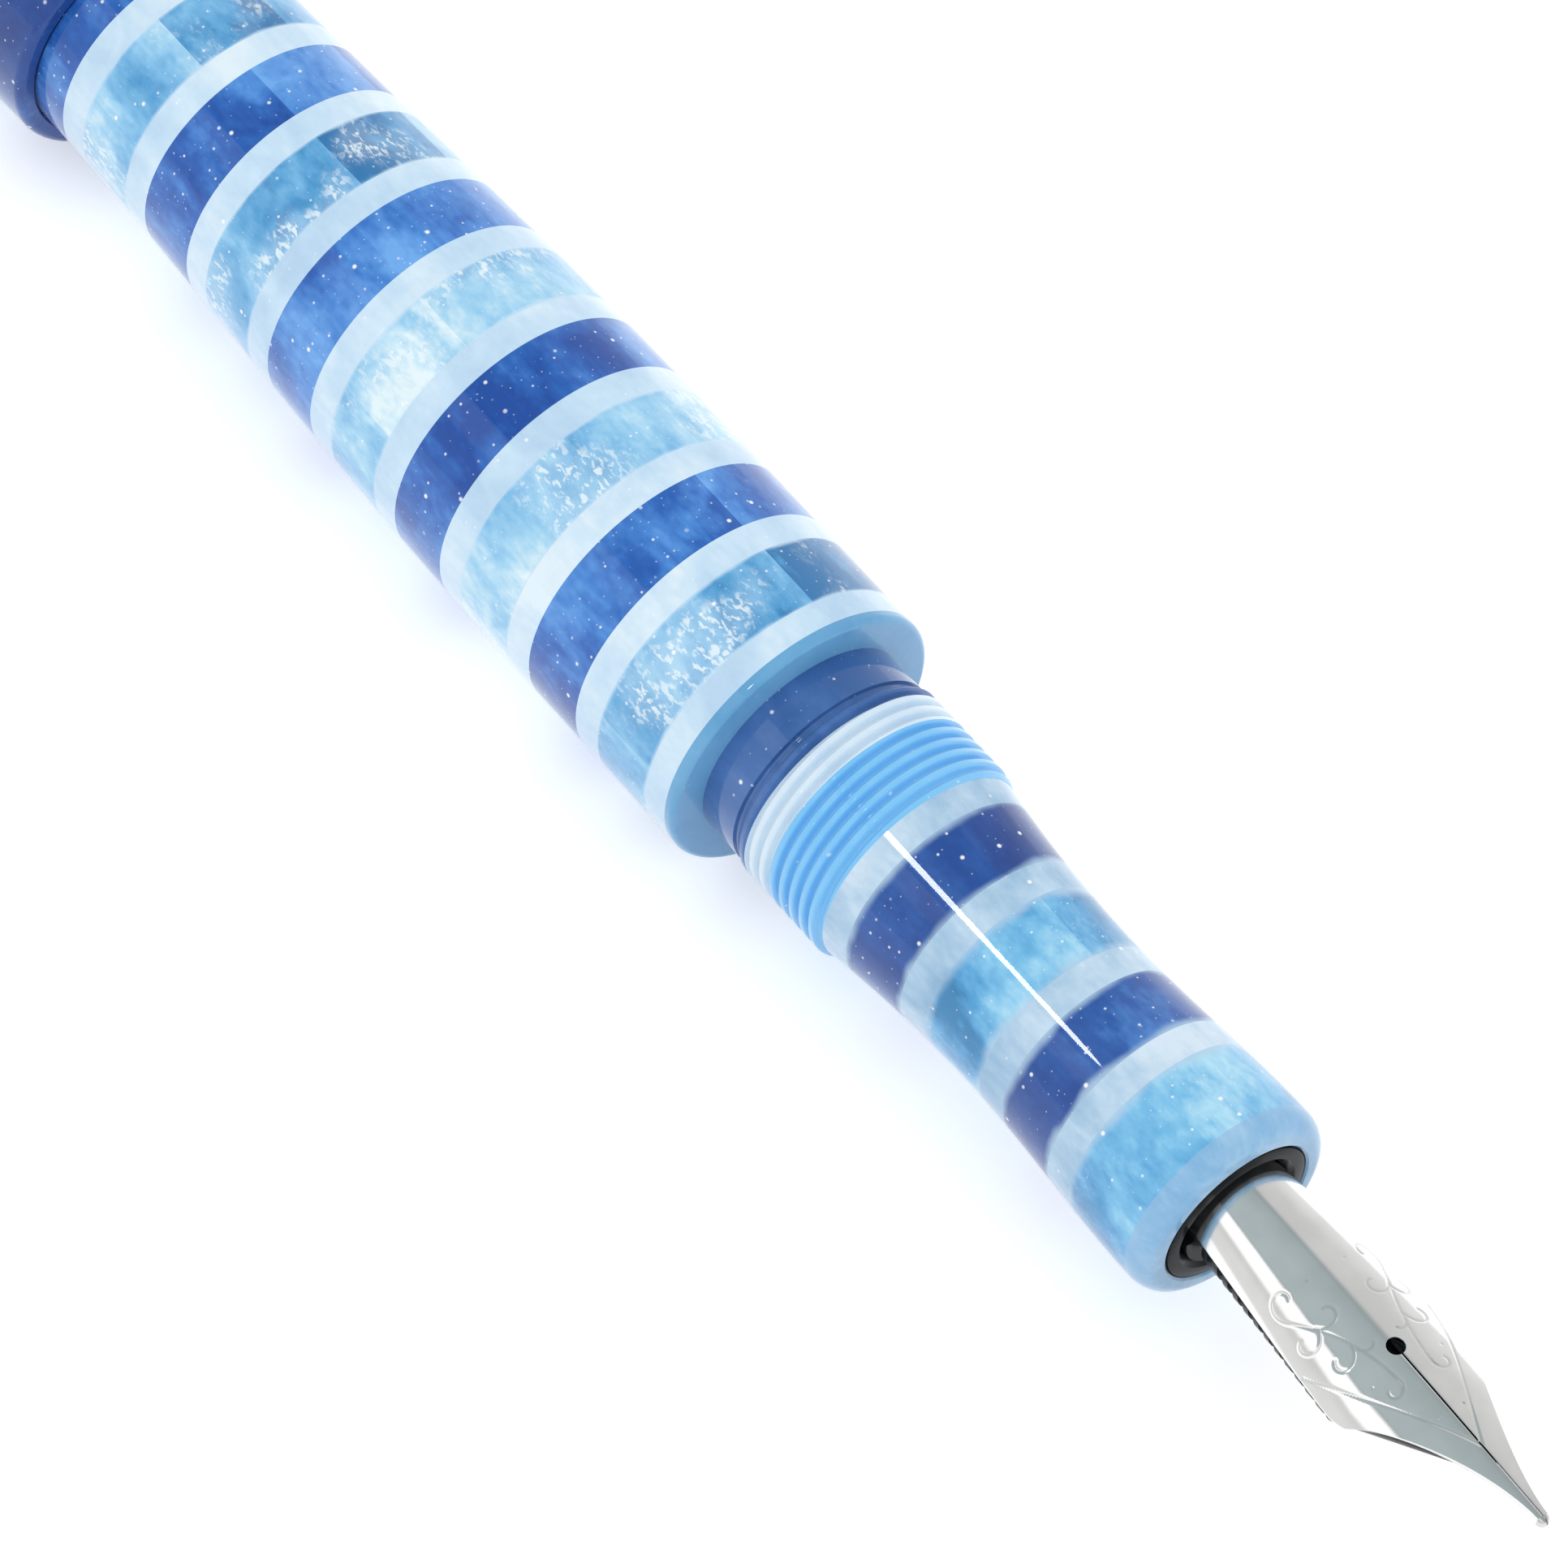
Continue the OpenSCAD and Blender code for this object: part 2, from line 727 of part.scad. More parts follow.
module piston_rod() {
    color(BLACK)
        difference() {
            rod(rod_rear_x, seal_rear_x + seal_grip, rod_d);
            rod(rod_rear_x - 1, spindle_front_x + 1, spindle_d + 2 * thread_gap);
        }
}

module piston_seal() {
    seal_d = tube_bore_d - 2 * running;
    front_x = seal_rear_x + seal_len;
    color(BLACK)
        difference() {
            union() {
                rod(seal_rear_x, front_x, seal_d - seal_lip_w);
                rod(seal_rear_x, seal_rear_x + seal_lip_w, seal_d);
                rod(front_x - seal_lip_w, front_x, seal_d);
            }
            rod(seal_rear_x - 1, seal_rear_x + seal_grip, rod_d);
        }
}

// --- Cap ------------------------------------------------------------------------------------
cap_mouth_d = barrel_tail_d + 2 * running;
cap_thread_x = lip_x - mouth_depth;
cap_bore_x = cap_thread_x - cap_thread_len;
cap_end_wall = 2;
cap_floor_x = cap_ring_x + cap_end_wall;
lip_edge = 0.5;

module cap_bore() {
    rod(cap_thread_x, lip_x + 1, cap_mouth_d);
    rod(cap_bore_x, cap_thread_x + small, cap_thread_d + 2 * thread_gap);
    rod(cap_floor_x, cap_bore_x + small, cap_bore_d);
    rod(cap_ring_x - 1, cap_floor_x + small, stem_d);
}

module cap_ring(x1, x2) {
    difference() {
        turned(x1, x2, [for (i = [0:steps]) cap_r(x1 + (x2 - x1) * i / steps)]);
        cap_bore();
    }
}

module cap_rings(offset, w) {
    for (i = [0:cap_periods - 1])
        let (x2 = lip_x - offset - i * period, x1 = max(x2 - w, cap_ring_x))
            if (x2 - x1 > small)
                cap_ring(x1, x2);
}

module cap_lip() {
    x1 = lip_x - dark_w;
    color(DARK)
        difference() {
            union() {
                turned(x1, lip_x - lip_edge, [for (i = [0:steps]) cap_r(x1 + (dark_w - lip_edge) * i / steps)]);
                turned(lip_x - lip_edge, lip_x, [
                    for (i = [0:round_steps])
                        cap_r(lip_x - lip_edge) - lip_edge * (1 - sqrt(1 - pow(i / round_steps, 2)))
                ]);
            }
            cap_bore();
        }
}

module cap_dark_rings() {
    color(DARK) cap_rings(period, dark_w);
}

module cap_light_rings() {
    color(LIGHT) cap_rings(dark_w + pearl_w, light_w);
}

module cap_pearl_rings() {
    color(PEARL) {
        cap_rings(dark_w, pearl_w);
        cap_rings(dark_w + pearl_w + light_w, pearl_w);
    }
}

finial_x = cap_ring_x - clip_ring_w;
stem_pitch = 0.8;
crown_power = 2.4;
finial_end_x = finial_x - finial_len;

module cap_finial() {
    crown_r = cap_crown_d / 2;
    color(DARK)
        union() {
            turned(finial_x, finial_end_x, [
                for (i = [0:round_steps])
                    finial_flat_d / 2
                        + (crown_r - finial_flat_d / 2) * sqrt(1 - pow(i / round_steps, crown_power))
            ]);
            threaded_rod(finial_x, finial_x + stem_len, stem_d - 2 * running, stem_pitch, cap_thread_depth);
        }
}

// --- Clip -----------------------------------------------------------------------------------
clip_r = cap_d / 2 + clip_gap + clip_t;
clip_corner = norm([clip_r, clip_w / 2]);
// The clip's lower corner is level with the underside of the cap, so that the pen lies on both
clip_turn = acos(cap_d / 2 / clip_corner) + atan(clip_w / 2 / clip_r);
clip_bend_x = finial_x + clip_ring_w / 2;

// Turns what is drawn upright on top of the cap down to where the clip is
module at_clip() {
    rotate([180 - clip_turn, 0, 0])
        children();
}

module clip_ring() {
    tab_h = clip_r - clip_t - face_gap;
    color(STEEL)
        difference() {
            union() {
                rod(finial_x, cap_ring_x, cap_crown_d);
                at_clip()
                    translate([finial_x, -clip_w / 2, 0])
                        cube([clip_ring_w, clip_w, tab_h]);
            }
            rod(finial_x - 1, cap_ring_x + 1, stem_d);
        }
}

// Outline of the clip's arm seen from above, narrower towards its round tip
module arm_outline() {
    hull() {
        translate([finial_x, -clip_w / 2])
            square([clip_ring_w, clip_w]);
        translate([finial_x + clip_len - clip_tip_w / 2, 0])
            circle(d = clip_tip_w, $fn = 32);
    }
}

module clip_arm() {
    arm_z = clip_r - clip_t;
    ball_x = finial_x + clip_len - clip_tip_w;
    ball_z = cap_r(ball_x) + face_gap / 2 + clip_ball_d / 2;
    color(STEEL)
        at_clip()
            union() {
                translate([0, 0, arm_z])
                    linear_extrude(clip_t)
                        arm_outline();
                intersection() {
                    translate([ball_x, 0, ball_z])
                        sphere(d = clip_ball_d);
                    translate([ball_x - clip_ball_d, -clip_ball_d, 0])
                        cube([2 * clip_ball_d, 2 * clip_ball_d, arm_z + small]);
                }
            }
}

barrel_dark_rings();
barrel_light_rings();
barrel_pearl_rings();
barrel_front_rim();
barrel_tail();
thread_collar_dark();
thread_collar_pearl();
thread_collar_light();
section_oring();
section_tenon();
section_dark_rings();
section_light_rings();
section_pearl_rings();
section_lip();
nib_housing();
feed();
nib();
nib_tip();
converter_mouth();
converter_tube();
converter_sleeve();
converter_knob();
converter_spindle();
piston_rod();
piston_seal();
cap_lip();
cap_dark_rings();
cap_light_rings();
cap_pearl_rings();
cap_finial();
clip_ring();
clip_arm();
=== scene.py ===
"""Fountain pen turned from laminated resin, lying with its cap posted on the tail."""
import json
import math
from itertools import chain, cycle

import bpy
from mathutils import Matrix, Vector
from mathutils.kdtree import KDTree


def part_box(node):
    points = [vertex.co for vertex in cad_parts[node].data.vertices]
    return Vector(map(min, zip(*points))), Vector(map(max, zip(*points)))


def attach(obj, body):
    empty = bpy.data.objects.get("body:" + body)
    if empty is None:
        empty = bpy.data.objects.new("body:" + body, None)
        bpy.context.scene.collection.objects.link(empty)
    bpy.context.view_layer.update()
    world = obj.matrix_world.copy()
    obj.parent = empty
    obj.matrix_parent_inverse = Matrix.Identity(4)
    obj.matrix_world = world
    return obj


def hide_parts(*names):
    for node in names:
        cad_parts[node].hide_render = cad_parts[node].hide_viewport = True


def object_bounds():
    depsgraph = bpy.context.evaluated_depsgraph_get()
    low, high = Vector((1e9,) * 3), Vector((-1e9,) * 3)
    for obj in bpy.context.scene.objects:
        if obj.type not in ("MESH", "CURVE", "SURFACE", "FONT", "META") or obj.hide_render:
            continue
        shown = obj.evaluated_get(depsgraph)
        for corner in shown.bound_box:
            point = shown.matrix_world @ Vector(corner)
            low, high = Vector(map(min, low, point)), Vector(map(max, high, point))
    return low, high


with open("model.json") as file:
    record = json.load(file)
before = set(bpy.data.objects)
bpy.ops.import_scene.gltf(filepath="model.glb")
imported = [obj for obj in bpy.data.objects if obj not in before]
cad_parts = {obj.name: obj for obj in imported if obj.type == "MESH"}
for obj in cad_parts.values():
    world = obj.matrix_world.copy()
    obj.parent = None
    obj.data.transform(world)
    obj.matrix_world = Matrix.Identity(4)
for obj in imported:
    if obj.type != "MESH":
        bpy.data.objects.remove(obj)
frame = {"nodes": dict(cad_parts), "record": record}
cad_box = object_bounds()
NODES = frame["nodes"]
BODY_OF = {node: body for body, nodes in frame["record"]["behaviour"]["bodies"].items() for node in nodes}

MM = 0.001
# Sides of a turned piece, and the sharpest corner that is shaded smooth
SIDES = 192
FLAT = math.radians(32)


def front(node):
    """Place along X of a node's end nearer the nib, in mm."""
    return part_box(node)[1].x / MM


def back(node):
    """Place along X of a node's end nearer the cap's finial, in mm."""
    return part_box(node)[0].x / MM


def radius(node):
    """Largest radius of a turned node, in mm."""
    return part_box(node)[1].z / MM


# ---------------------------------------------------------------------------------------------
# Finishes
# ---------------------------------------------------------------------------------------------
class Number:
    """A value on a shader socket. Arithmetic on it adds Math nodes."""

    def __init__(self, finish, socket):
        self.finish = finish
        self.socket = socket

    def math(self, operation, *values):
        """A Math node on this value and others."""
        made = self.finish.node("Math", {"operation": operation}, self, *values)
        return Number(self.finish, made.outputs[0])

    def __add__(self, other):
        return self.math("ADD", other)

    def __mul__(self, other):
        return self.math("MULTIPLY", other)

    def __sub__(self, other):
        return self.math("SUBTRACT", other)

    def __rsub__(self, other):
        return self.math("MULTIPLY", -1.0) + other

    def __truediv__(self, other):
        return self.math("DIVIDE", other)

    __radd__ = __add__
    __rmul__ = __mul__

    def fade(self, low, high):
        """0 below low and 1 above high, smooth in between."""
        made = self.finish.node("MapRange", {"interpolation_type": "SMOOTHSTEP"}, self, low, high)
        return Number(self.finish, made.outputs[0])


class Nodes:
    """A node tree, and the nodes added to it."""

    def __init__(self, tree):
        self.tree = tree

    def node(self, kind, settings=None, *values, **sockets):
        """A shader node of a kind, with its settings, and values or links for its sockets."""
        made = self.tree.nodes.new("ShaderNode" + kind)
        for setting, value in (settings or {}).items():
            if setting == "stops":
                while len(made.color_ramp.elements) < len(value):
                    made.color_ramp.elements.new(1)
                for stop, (position, colour) in zip(made.color_ramp.elements, value):
                    stop.position = position
                    stop.color = (*colour, 1)
            else:
                setattr(made, setting, value)
        for socket, value in [*enumerate(values), *sockets.items()]:
            if isinstance(socket, str):
                socket = socket.replace("_", " ")
            self.feed(made.inputs[socket], value)
        return made

    def feed(self, target, value):
        """A value or a link goes into a socket."""
        if isinstance(value, Number):
            value = value.socket
        if isinstance(value, bpy.types.NodeSocket):
            self.tree.links.new(value, target)
        elif target.type == "RGBA":
            target.default_value = (*value, 1)
        else:
            target.default_value = value

    def ramp(self, factor, stops):
        """Colour along a ramp of (position, colour) stops."""
        return self.node("ValToRGB", {"stops": stops}, factor).outputs[0]

    def mix(self, factor, first, second):
        """The first colour where the factor is 0, and the second where it is 1."""
        made = self.node("Mix", {"data_type": "RGBA"})
        for socket, value in ((0, factor), (6, first), (7, second)):
            self.feed(made.inputs[socket], value)
        return made.outputs[2]


class Finish(Nodes):
    """A material and its nodes. Places are in mm."""

    def __init__(self, name, **constants):
        self.material = bpy.data.materials.new(name)
        self.material.use_nodes = True
        super().__init__(self.material.node_tree)
        self.shader = self.tree.nodes["Principled BSDF"]
        for socket, value in constants.items():
            self.shader.inputs[socket.replace("_", " ")].default_value = value
        place = self.node("TexCoord").outputs["Object"]
        self.place = self.node("Mapping", None, place, Scale=[1 / MM] * 3).outputs[0]
        axes = self.node("SeparateXYZ", None, self.place).outputs
        self.x, self.y, self.z = (Number(self, axis) for axis in axes)

    def paint(self, **sockets):
        """Values or links for the sockets of the material's shader."""
        for socket, value in sockets.items():
            self.feed(self.shader.inputs[socket.replace("_", " ")], value)

    def angle(self):
        """Angle about the pen's axis, from the top, in radians."""
        return self.y.math("ARCTAN2", self.z)

    def stretched(self, along, across):
        """Places scaled along and across the pen."""
        return self.node("Mapping", None, self.place, Scale=(along, across, across)).outputs[0]

    def noise(self, vector, seed, **sockets):
        """Cloudy noise from 0 to 1, another one for each seed."""
        made = self.node("TexNoise", {"noise_dimensions": "4D"}, Vector=vector, W=seed, Scale=1.0, **sockets)
        return Number(self, made.outputs[0])

    def cells(self, vector, scale):
        """Distance to the nearest of scattered points, and that point's random number."""
        made = self.node("TexVoronoi", None, Vector=vector, Scale=scale)
        chance = self.node("SeparateColor", None, made.outputs["Color"]).outputs[0]
        return Number(self, made.outputs["Distance"]), Number(self, chance)

    def chance(self, *values):
        """A random number for each set of whole numbers."""
        vector = self.node("CombineXYZ", None, *values).outputs[0]
        return Number(self, self.node("TexWhiteNoise", {"noise_dimensions": "3D"}, vector).outputs[0])

    def bump(self, height, depth_mm, strength):
        """Normal of a surface with small hills as high as depth_mm."""
        return self.node("Bump", None, Strength=strength, Distance=depth_mm * MM, Height=height).outputs[0]


FLAKE_WHITE = (0.95, 0.97, 1.0)
# Three sizes of flake, as (spacing in mm, radius in mm, share of places that hold one, brightness)
FLAKES = ((0.33, 0.052, 0.5, 0.5), (0.62, 0.095, 0.45, 0.8), (1.3, 0.15, 0.8, 1.0))


def glitter(finish, base, amount):
    """White flakes scattered through a resin."""
    for spacing, size, share, bright in FLAKES:
        near, lucky = finish.cells(finish.place, 1 / spacing)
        limit = 1 - share * amount
        inside = 1 - near.fade(0.4 * size / spacing, 1.1 * size / spacing)
        base = finish.mix(inside * lucky.fade(limit, limit + 0.15) * bright, base, FLAKE_WHITE)
    return base


# Angle that one block of a ring takes up, in radians, and the chance above which a block stands out
BLOCK_ANGLE, RARE_BLOCK = 0.80, 0.74
SPARKLE_COLOUR = (0.82, 0.94, 1.0)


def resin(name, stops, seams, silk=1.0, blocks=0.0, flakes=0.5, sparkle=0.0, drift=(0.0, 0.0), edge=None):
    """Polished cast resin with silky clouds that run lengthwise, each group of rings cut from another place.

    Silk is the strength of the clouds, and blocks that of the change of tone from block to block.
    Seams are (x, period) of the places between the groups.
    Drift is (strength, phase) of the change of tone from group to group.
    Edge is (middle of a ring, half its length, repeat, softness, colour, last x) of rings whose ends blur.
    """
    finish = Finish(name, Roughness=0.4, IOR=1.45, Coat_Weight=1.0, Coat_Roughness=0.03, Coat_IOR=1.4,
                    Sheen_Weight=0.22, Sheen_Roughness=0.35, Specular_IOR_Level=0.1)
    group = ((finish.x - seams[0]) / seams[1]).math("FLOOR")
    seed = finish.chance(group, 0.0, 0.0) * 40
    cloud = finish.noise(finish.stretched(0.10, 0.15), seed, Detail=1.5)
    swirl = finish.noise(finish.stretched(0.26, 0.42), seed + 7, Detail=2.0, Roughness=0.5, Distortion=0.8)
    mottle = finish.noise(finish.stretched(1.5, 2.2), seed + 13, Detail=2.0)
    fibre = finish.noise(finish.stretched(0.30, 3.2), seed + 17, Detail=1.5, Distortion=0.4)
    turn = finish.angle() / BLOCK_ANGLE + finish.chance(group, 3.0, 0.0) * 6.0
    block = finish.chance(group, turn.math("FLOOR"), 1.0)
    tone = 0.5 + (cloud - 0.5) * (1.5 * silk) + (swirl - 0.5) * (0.9 * silk)
    tone = tone + (mottle - 0.5) * (0.35 * silk) + (fibre - 0.5) * (0.14 * silk)
    tone = tone + (block.math("GREATER_THAN", RARE_BLOCK) * 0.8 + block * 0.5 - 0.45) * blocks
    tone = tone + (group * 2.0 + drift[1]).math("SINE") * drift[0]
    colour = finish.ramp(tone, stops)
    if sparkle:
        patch = finish.noise(finish.stretched(0.20, 0.20), seed + 11, Detail=1.5).fade(0.47, 0.62)
        crumb = finish.noise(finish.stretched(1.9, 3.6), seed + 23, Detail=3.0, Distortion=0.5)
        crumb = crumb.fade(0.50, 0.62) * 0.85 + 0.2
        colour = finish.mix(patch * crumb * sparkle, colour, SPARKLE_COLOUR)
    if edge:
        middle, half, repeat, soft, beside, last = edge
        waver = finish.noise(finish.stretched(0.3, 0.35), 3.0, Detail=2.0)
        out = (finish.x - middle).math("PINGPONG", repeat / 2) + (waver - 0.5) * (2.2 * soft)
        blurred = out.fade(half - soft, half + 0.25 * soft) * finish.x.math("LESS_THAN", last)
        colour = finish.mix(blurred * 0.8, colour, beside)
    finish.paint(Base_Color=glitter(finish, colour, flakes))
    return finish


DARK_TONES = [(0.10, (0.006, 0.070, 0.36)), (0.32, (0.018, 0.125, 0.49)), (0.54, (0.065, 0.25, 0.69)),
              (0.82, (0.16, 0.42, 0.88))]
INDIGO_TONES = [(0.15, (0.006, 0.045, 0.25)), (0.45, (0.013, 0.075, 0.33)), (0.65, (0.024, 0.11, 0.41)),
                (0.9, (0.075, 0.24, 0.62))]
LIGHT_TONES = [(0.12, (0.030, 0.19, 0.45)), (0.32, (0.085, 0.35, 0.67)), (0.54, (0.20, 0.51, 0.82)),
               (0.76, (0.38, 0.69, 0.92)), (1.0, (0.78, 0.94, 0.99))]
CLEAR_TONES = [(0.12, (0.035, 0.23, 0.48)), (0.40, (0.090, 0.37, 0.70)), (0.62, (0.19, 0.53, 0.83)),
               (0.9, (0.45, 0.78, 0.96))]
# The collar's thread is cut from the same laminate as the barrel, but its tones are partly painted light. The
# dark is paler and greyer as a painted milky reflection, and the light is lifted as painted light that
# offsets the thread's shade.
COLLAR_DARK_HAZE_TONES = [(0.2, (0.032, 0.12, 0.36)), (0.8, (0.075, 0.19, 0.49))]
COLLAR_LIGHT_LIFTED_TONES = [(0.2, (0.17, 0.54, 0.93)), (0.8, (0.25, 0.62, 0.98))]
# Collar pearl: its own pale pearl, lightened almost to white as a painted sheen along the thread.
COLLAR_PEARL_SHEEN_TONES = [(0.2, (0.60, 0.77, 0.93)), (0.8, (0.80, 0.92, 1.0))]
PEARL_TONES = [(0.15, (0.48, 0.68, 0.88)), (0.5, (0.60, 0.79, 0.95)), (0.85, (0.78, 0.91, 0.99))]
SOFT_PEARL_TONES = [(0.15, (0.27, 0.47, 0.68)), (0.5, (0.45, 0.64, 0.82)), (0.85, (0.68, 0.82, 0.94))]
LIP_TONES = [(0.2, (0.18, 0.41, 0.68)), (0.5, (0.25, 0.49, 0.76)), (0.8, (0.40, 0.63, 0.84))]
RIM_TONES = [(0.2, (0.10, 0.33, 0.61)), (0.5, (0.14, 0.40, 0.68)), (0.8, (0.20, 0.48, 0.76))]

# Lengths of the laminated rings, and of one whole repeat of them
LIGHT_RING, PEARL_RING, DARK_RING = 4.0, 1.8, 3.92
RING_PERIOD = LIGHT_RING + DARK_RING + 2 * PEARL_RING
SECTION_PEARL, SECTION_LIGHT = 1.6, 4.3
SECTION_REPEAT = SECTION_LIGHT + DARK_RING + 2 * PEARL_RING

# Where the laminations start
FIRST_RING = front("barrel_light_rings")
CAP_LIP = front("cap_lip")
LIP_BACK = back("cap_lip")
SECTION_REAR = back("section_pearl_rings")

# Rings whose ends blur into the pearl beside them, up to a place behind the section's lip
LAST_BLUR = front("section_lip") - 3
SECTION_DARK_MIDDLE = SECTION_REAR + SECTION_PEARL + DARK_RING / 2
SECTION_LIGHT_MIDDLE = SECTION_DARK_MIDDLE + PEARL_RING + (DARK_RING + SECTION_LIGHT) / 2
SOFT_PEARL, PEARL = SOFT_PEARL_TONES[1][1], PEARL_TONES[1][1]
DARK_EDGE = (SECTION_DARK_MIDDLE, DARK_RING / 2, SECTION_REPEAT, 0.45, SOFT_PEARL, LAST_BLUR)
LIGHT_EDGE = (SECTION_LIGHT_MIDDLE, SECTION_LIGHT / 2, SECTION_REPEAT, 0.6, SOFT_PEARL, LAST_BLUR)
BARREL_EDGE = (FIRST_RING - LIGHT_RING / 2, LIGHT_RING / 2, RING_PERIOD, 0.22, PEARL, LAST_BLUR)

# Seams between groups of rings, as (x, period). The spare keeps a seam off the section's rear end
SEAM_SPARE = 0.4
BARREL_SEAMS = (FIRST_RING, RING_PERIOD)
SECTION_SEAMS = (SECTION_REAR + SECTION_REPEAT - PEARL_RING + SECTION_PEARL, SECTION_REPEAT + SEAM_SPARE)
CAP_SEAMS = (LIP_BACK, RING_PERIOD)
WHOLE = (-500, 1000)

FINISHES = {
    "barrel_dark": resin("cobalt_resin", DARK_TONES, BARREL_SEAMS, blocks=0.30, flakes=0.9,
                         drift=(0.20, 0.9)),
    "barrel_light": resin("sky_resin", LIGHT_TONES, BARREL_SEAMS, blocks=-0.42, flakes=0.8, sparkle=0.85,
                          drift=(0.13, -0.21), edge=BARREL_EDGE),
    "barrel_pearl": resin("pearl_resin", PEARL_TONES, BARREL_SEAMS, flakes=0.3),
    "rim": resin("slate_resin", RIM_TONES, WHOLE, silk=0.5, flakes=0.1),
    "solid": resin("solid_cobalt_resin", INDIGO_TONES, WHOLE, silk=0.9, flakes=0.8),
    "section_dark": resin("indigo_resin", INDIGO_TONES, SECTION_SEAMS, silk=0.9, flakes=0.85,
                          edge=DARK_EDGE),
    "section_light": resin("clear_sky_resin", CLEAR_TONES, SECTION_SEAMS, silk=1.1, blocks=-0.2, flakes=0.85,
                           sparkle=0.15, edge=LIGHT_EDGE),
    "section_pearl": resin("soft_pearl_resin", SOFT_PEARL_TONES, SECTION_SEAMS, flakes=0.4),
    # Collar finishes: their tones hold painted light (a milky reflection on the dark, lift against the
    # thread's shade on the light, a sheen on the pearl).
    "collar_dark": resin("collar_indigo_resin", COLLAR_DARK_HAZE_TONES, WHOLE, flakes=0.4),
    "collar_light": resin("collar_sky_resin", COLLAR_LIGHT_LIFTED_TONES, WHOLE, silk=0.5, flakes=0.3),
    "collar_pearl": resin("collar_pearl_resin", COLLAR_PEARL_SHEEN_TONES, WHOLE, silk=0.5, flakes=0.2),
    "lip": resin("lip_resin", LIP_TONES, WHOLE, silk=0.9, flakes=0.15),
    "cap_dark": resin("cap_cobalt_resin", INDIGO_TONES, CAP_SEAMS, silk=0.8, blocks=0.2, flakes=0.8),
    "cap_light": resin("cap_sky_resin", LIGHT_TONES, CAP_SEAMS, silk=0.9, blocks=-0.4, flakes=0.8,
                       sparkle=0.6),
    "cap_pearl": resin("cap_pearl_resin", PEARL_TONES, CAP_SEAMS, silk=0.8, flakes=0.25),
}


# How much polishing marks and clouds change the roughness of a metal
SCRATCHED = 0.04


def metal(name, colour, rough, engraved=False):
    """Polished metal with faint lengthwise polishing marks; when engraved, painted shade darkens the engraved
    grooves.
    """
    finish = Finish(name, Metallic=1.0)
    marks = finish.noise(finish.stretched(0.4, 22.0), 0.0, Detail=3.0)
    cloud = finish.noise(finish.stretched(0.5, 0.5), 5.0, Detail=2.0)
    base = finish.mix(cloud.fade(0.3, 0.7), colour, [c * 0.93 for c in colour])
    rough_here = marks * SCRATCHED + cloud * SCRATCHED + (rough - SCRATCHED)
    # Painted shade: the engraved grooves' colour is darkened, and their cuts are made rougher.
    if engraved:
        cut = Number(finish, finish.node("Attribute", {"attribute_name": "engraved"}).outputs["Fac"])
        base = finish.mix(cut * 0.35, base, [c * 0.5 for c in colour])
        rough_here = rough_here + cut * 0.10
    finish.paint(Base_Color=base, Roughness=rough_here, Normal=finish.bump(marks, 0.0006, 0.4))
    return finish


def plastic(name, colour, rough=0.22, marks=0.06, coat=0.1, clear=0.0):
    """Moulded plastic or rubber with a faint mottle."""
    finish = Finish(name, IOR=1.45, Coat_Weight=coat, Coat_Roughness=0.04, Specular_IOR_Level=0.06,
                    Transmission_Weight=clear)
    mottle = finish.noise(finish.stretched(1.2, 1.2), 2.0, Detail=4.0)
    base = finish.mix(mottle.fade(0.35, 0.7), colour, [min(1, c * 1.5 + 0.004) for c in colour])
    finish.paint(Base_Color=base, Roughness=mottle * marks + rough, Normal=finish.bump(mottle, 0.002, 0.3))
    return finish


FINISHES.update(
    # The nib's steel carries painted shade in its engraved grooves.
    steel=metal("nib_steel", (0.80, 0.80, 0.79), 0.12, engraved=True),
    alloy=metal("tip_alloy", (0.60, 0.60, 0.59), 0.22),
    plated=metal("plated_metal", (0.66, 0.66, 0.65), 0.10),
    clip=metal("sprung_steel", (0.62, 0.63, 0.64), 0.12),
    black=plastic("black_plastic", (0.007, 0.008, 0.010)),
    rubber=plastic("black_rubber", (0.015, 0.015, 0.016), 0.5, 0.2, coat=0.0),
    clear=plastic("clear_plastic", (0.86, 0.92, 0.95), 0.05, clear=0.9),
)


# ---------------------------------------------------------------------------------------------
# Shaping tools
# ---------------------------------------------------------------------------------------------
def spread(start, end, count):
    """Evenly spaced values from start to end, one more than count."""
    return [start + (end - start) * i / count for i in range(count + 1)]


def smooth(share):
    """A share from 0 to 1, with its change eased at both ends."""
    return share * share * (3 - 2 * share)


def start_alone():
    """Nothing is selected, so that an operator acts on the new piece only."""
    bpy.ops.object.select_all(action="DESELECT")


def turned(name, sections, sides=SIDES):
    """A piece spun about the pen's axis from closed cross-sections of (x, radius) corners, in mm."""
    start_alone()
    bpy.ops.mesh.primitive_circle_add(vertices=len(sections[0]))
    piece = bpy.context.object
    piece.name = piece.data.name = name
    bpy.ops.object.mode_set(mode="EDIT")
    for section in sections[1:]:
        bpy.ops.mesh.primitive_circle_add(vertices=len(section))
    bpy.ops.object.mode_set(mode="OBJECT")
    corners = [corner for section in sections for corner in section]
    for vertex, (x, r) in zip(piece.data.vertices, corners):
        vertex.co = (x * MM, 0, r * MM)
    bpy.ops.object.mode_set(mode="EDIT")
    bpy.ops.mesh.select_all(action="SELECT")
    bpy.ops.mesh.spin(steps=sides, angle=math.tau, center=(0, 0, 0), axis=(1, 0, 0))
    bpy.ops.mesh.select_all(action="SELECT")
    bpy.ops.mesh.remove_doubles(threshold=0.0008 * MM)
    bpy.ops.mesh.normals_make_consistent(inside=False)
    bpy.ops.object.mode_set(mode="OBJECT")
    bpy.ops.object.shade_smooth_by_angle(angle=FLAT)
    return piece


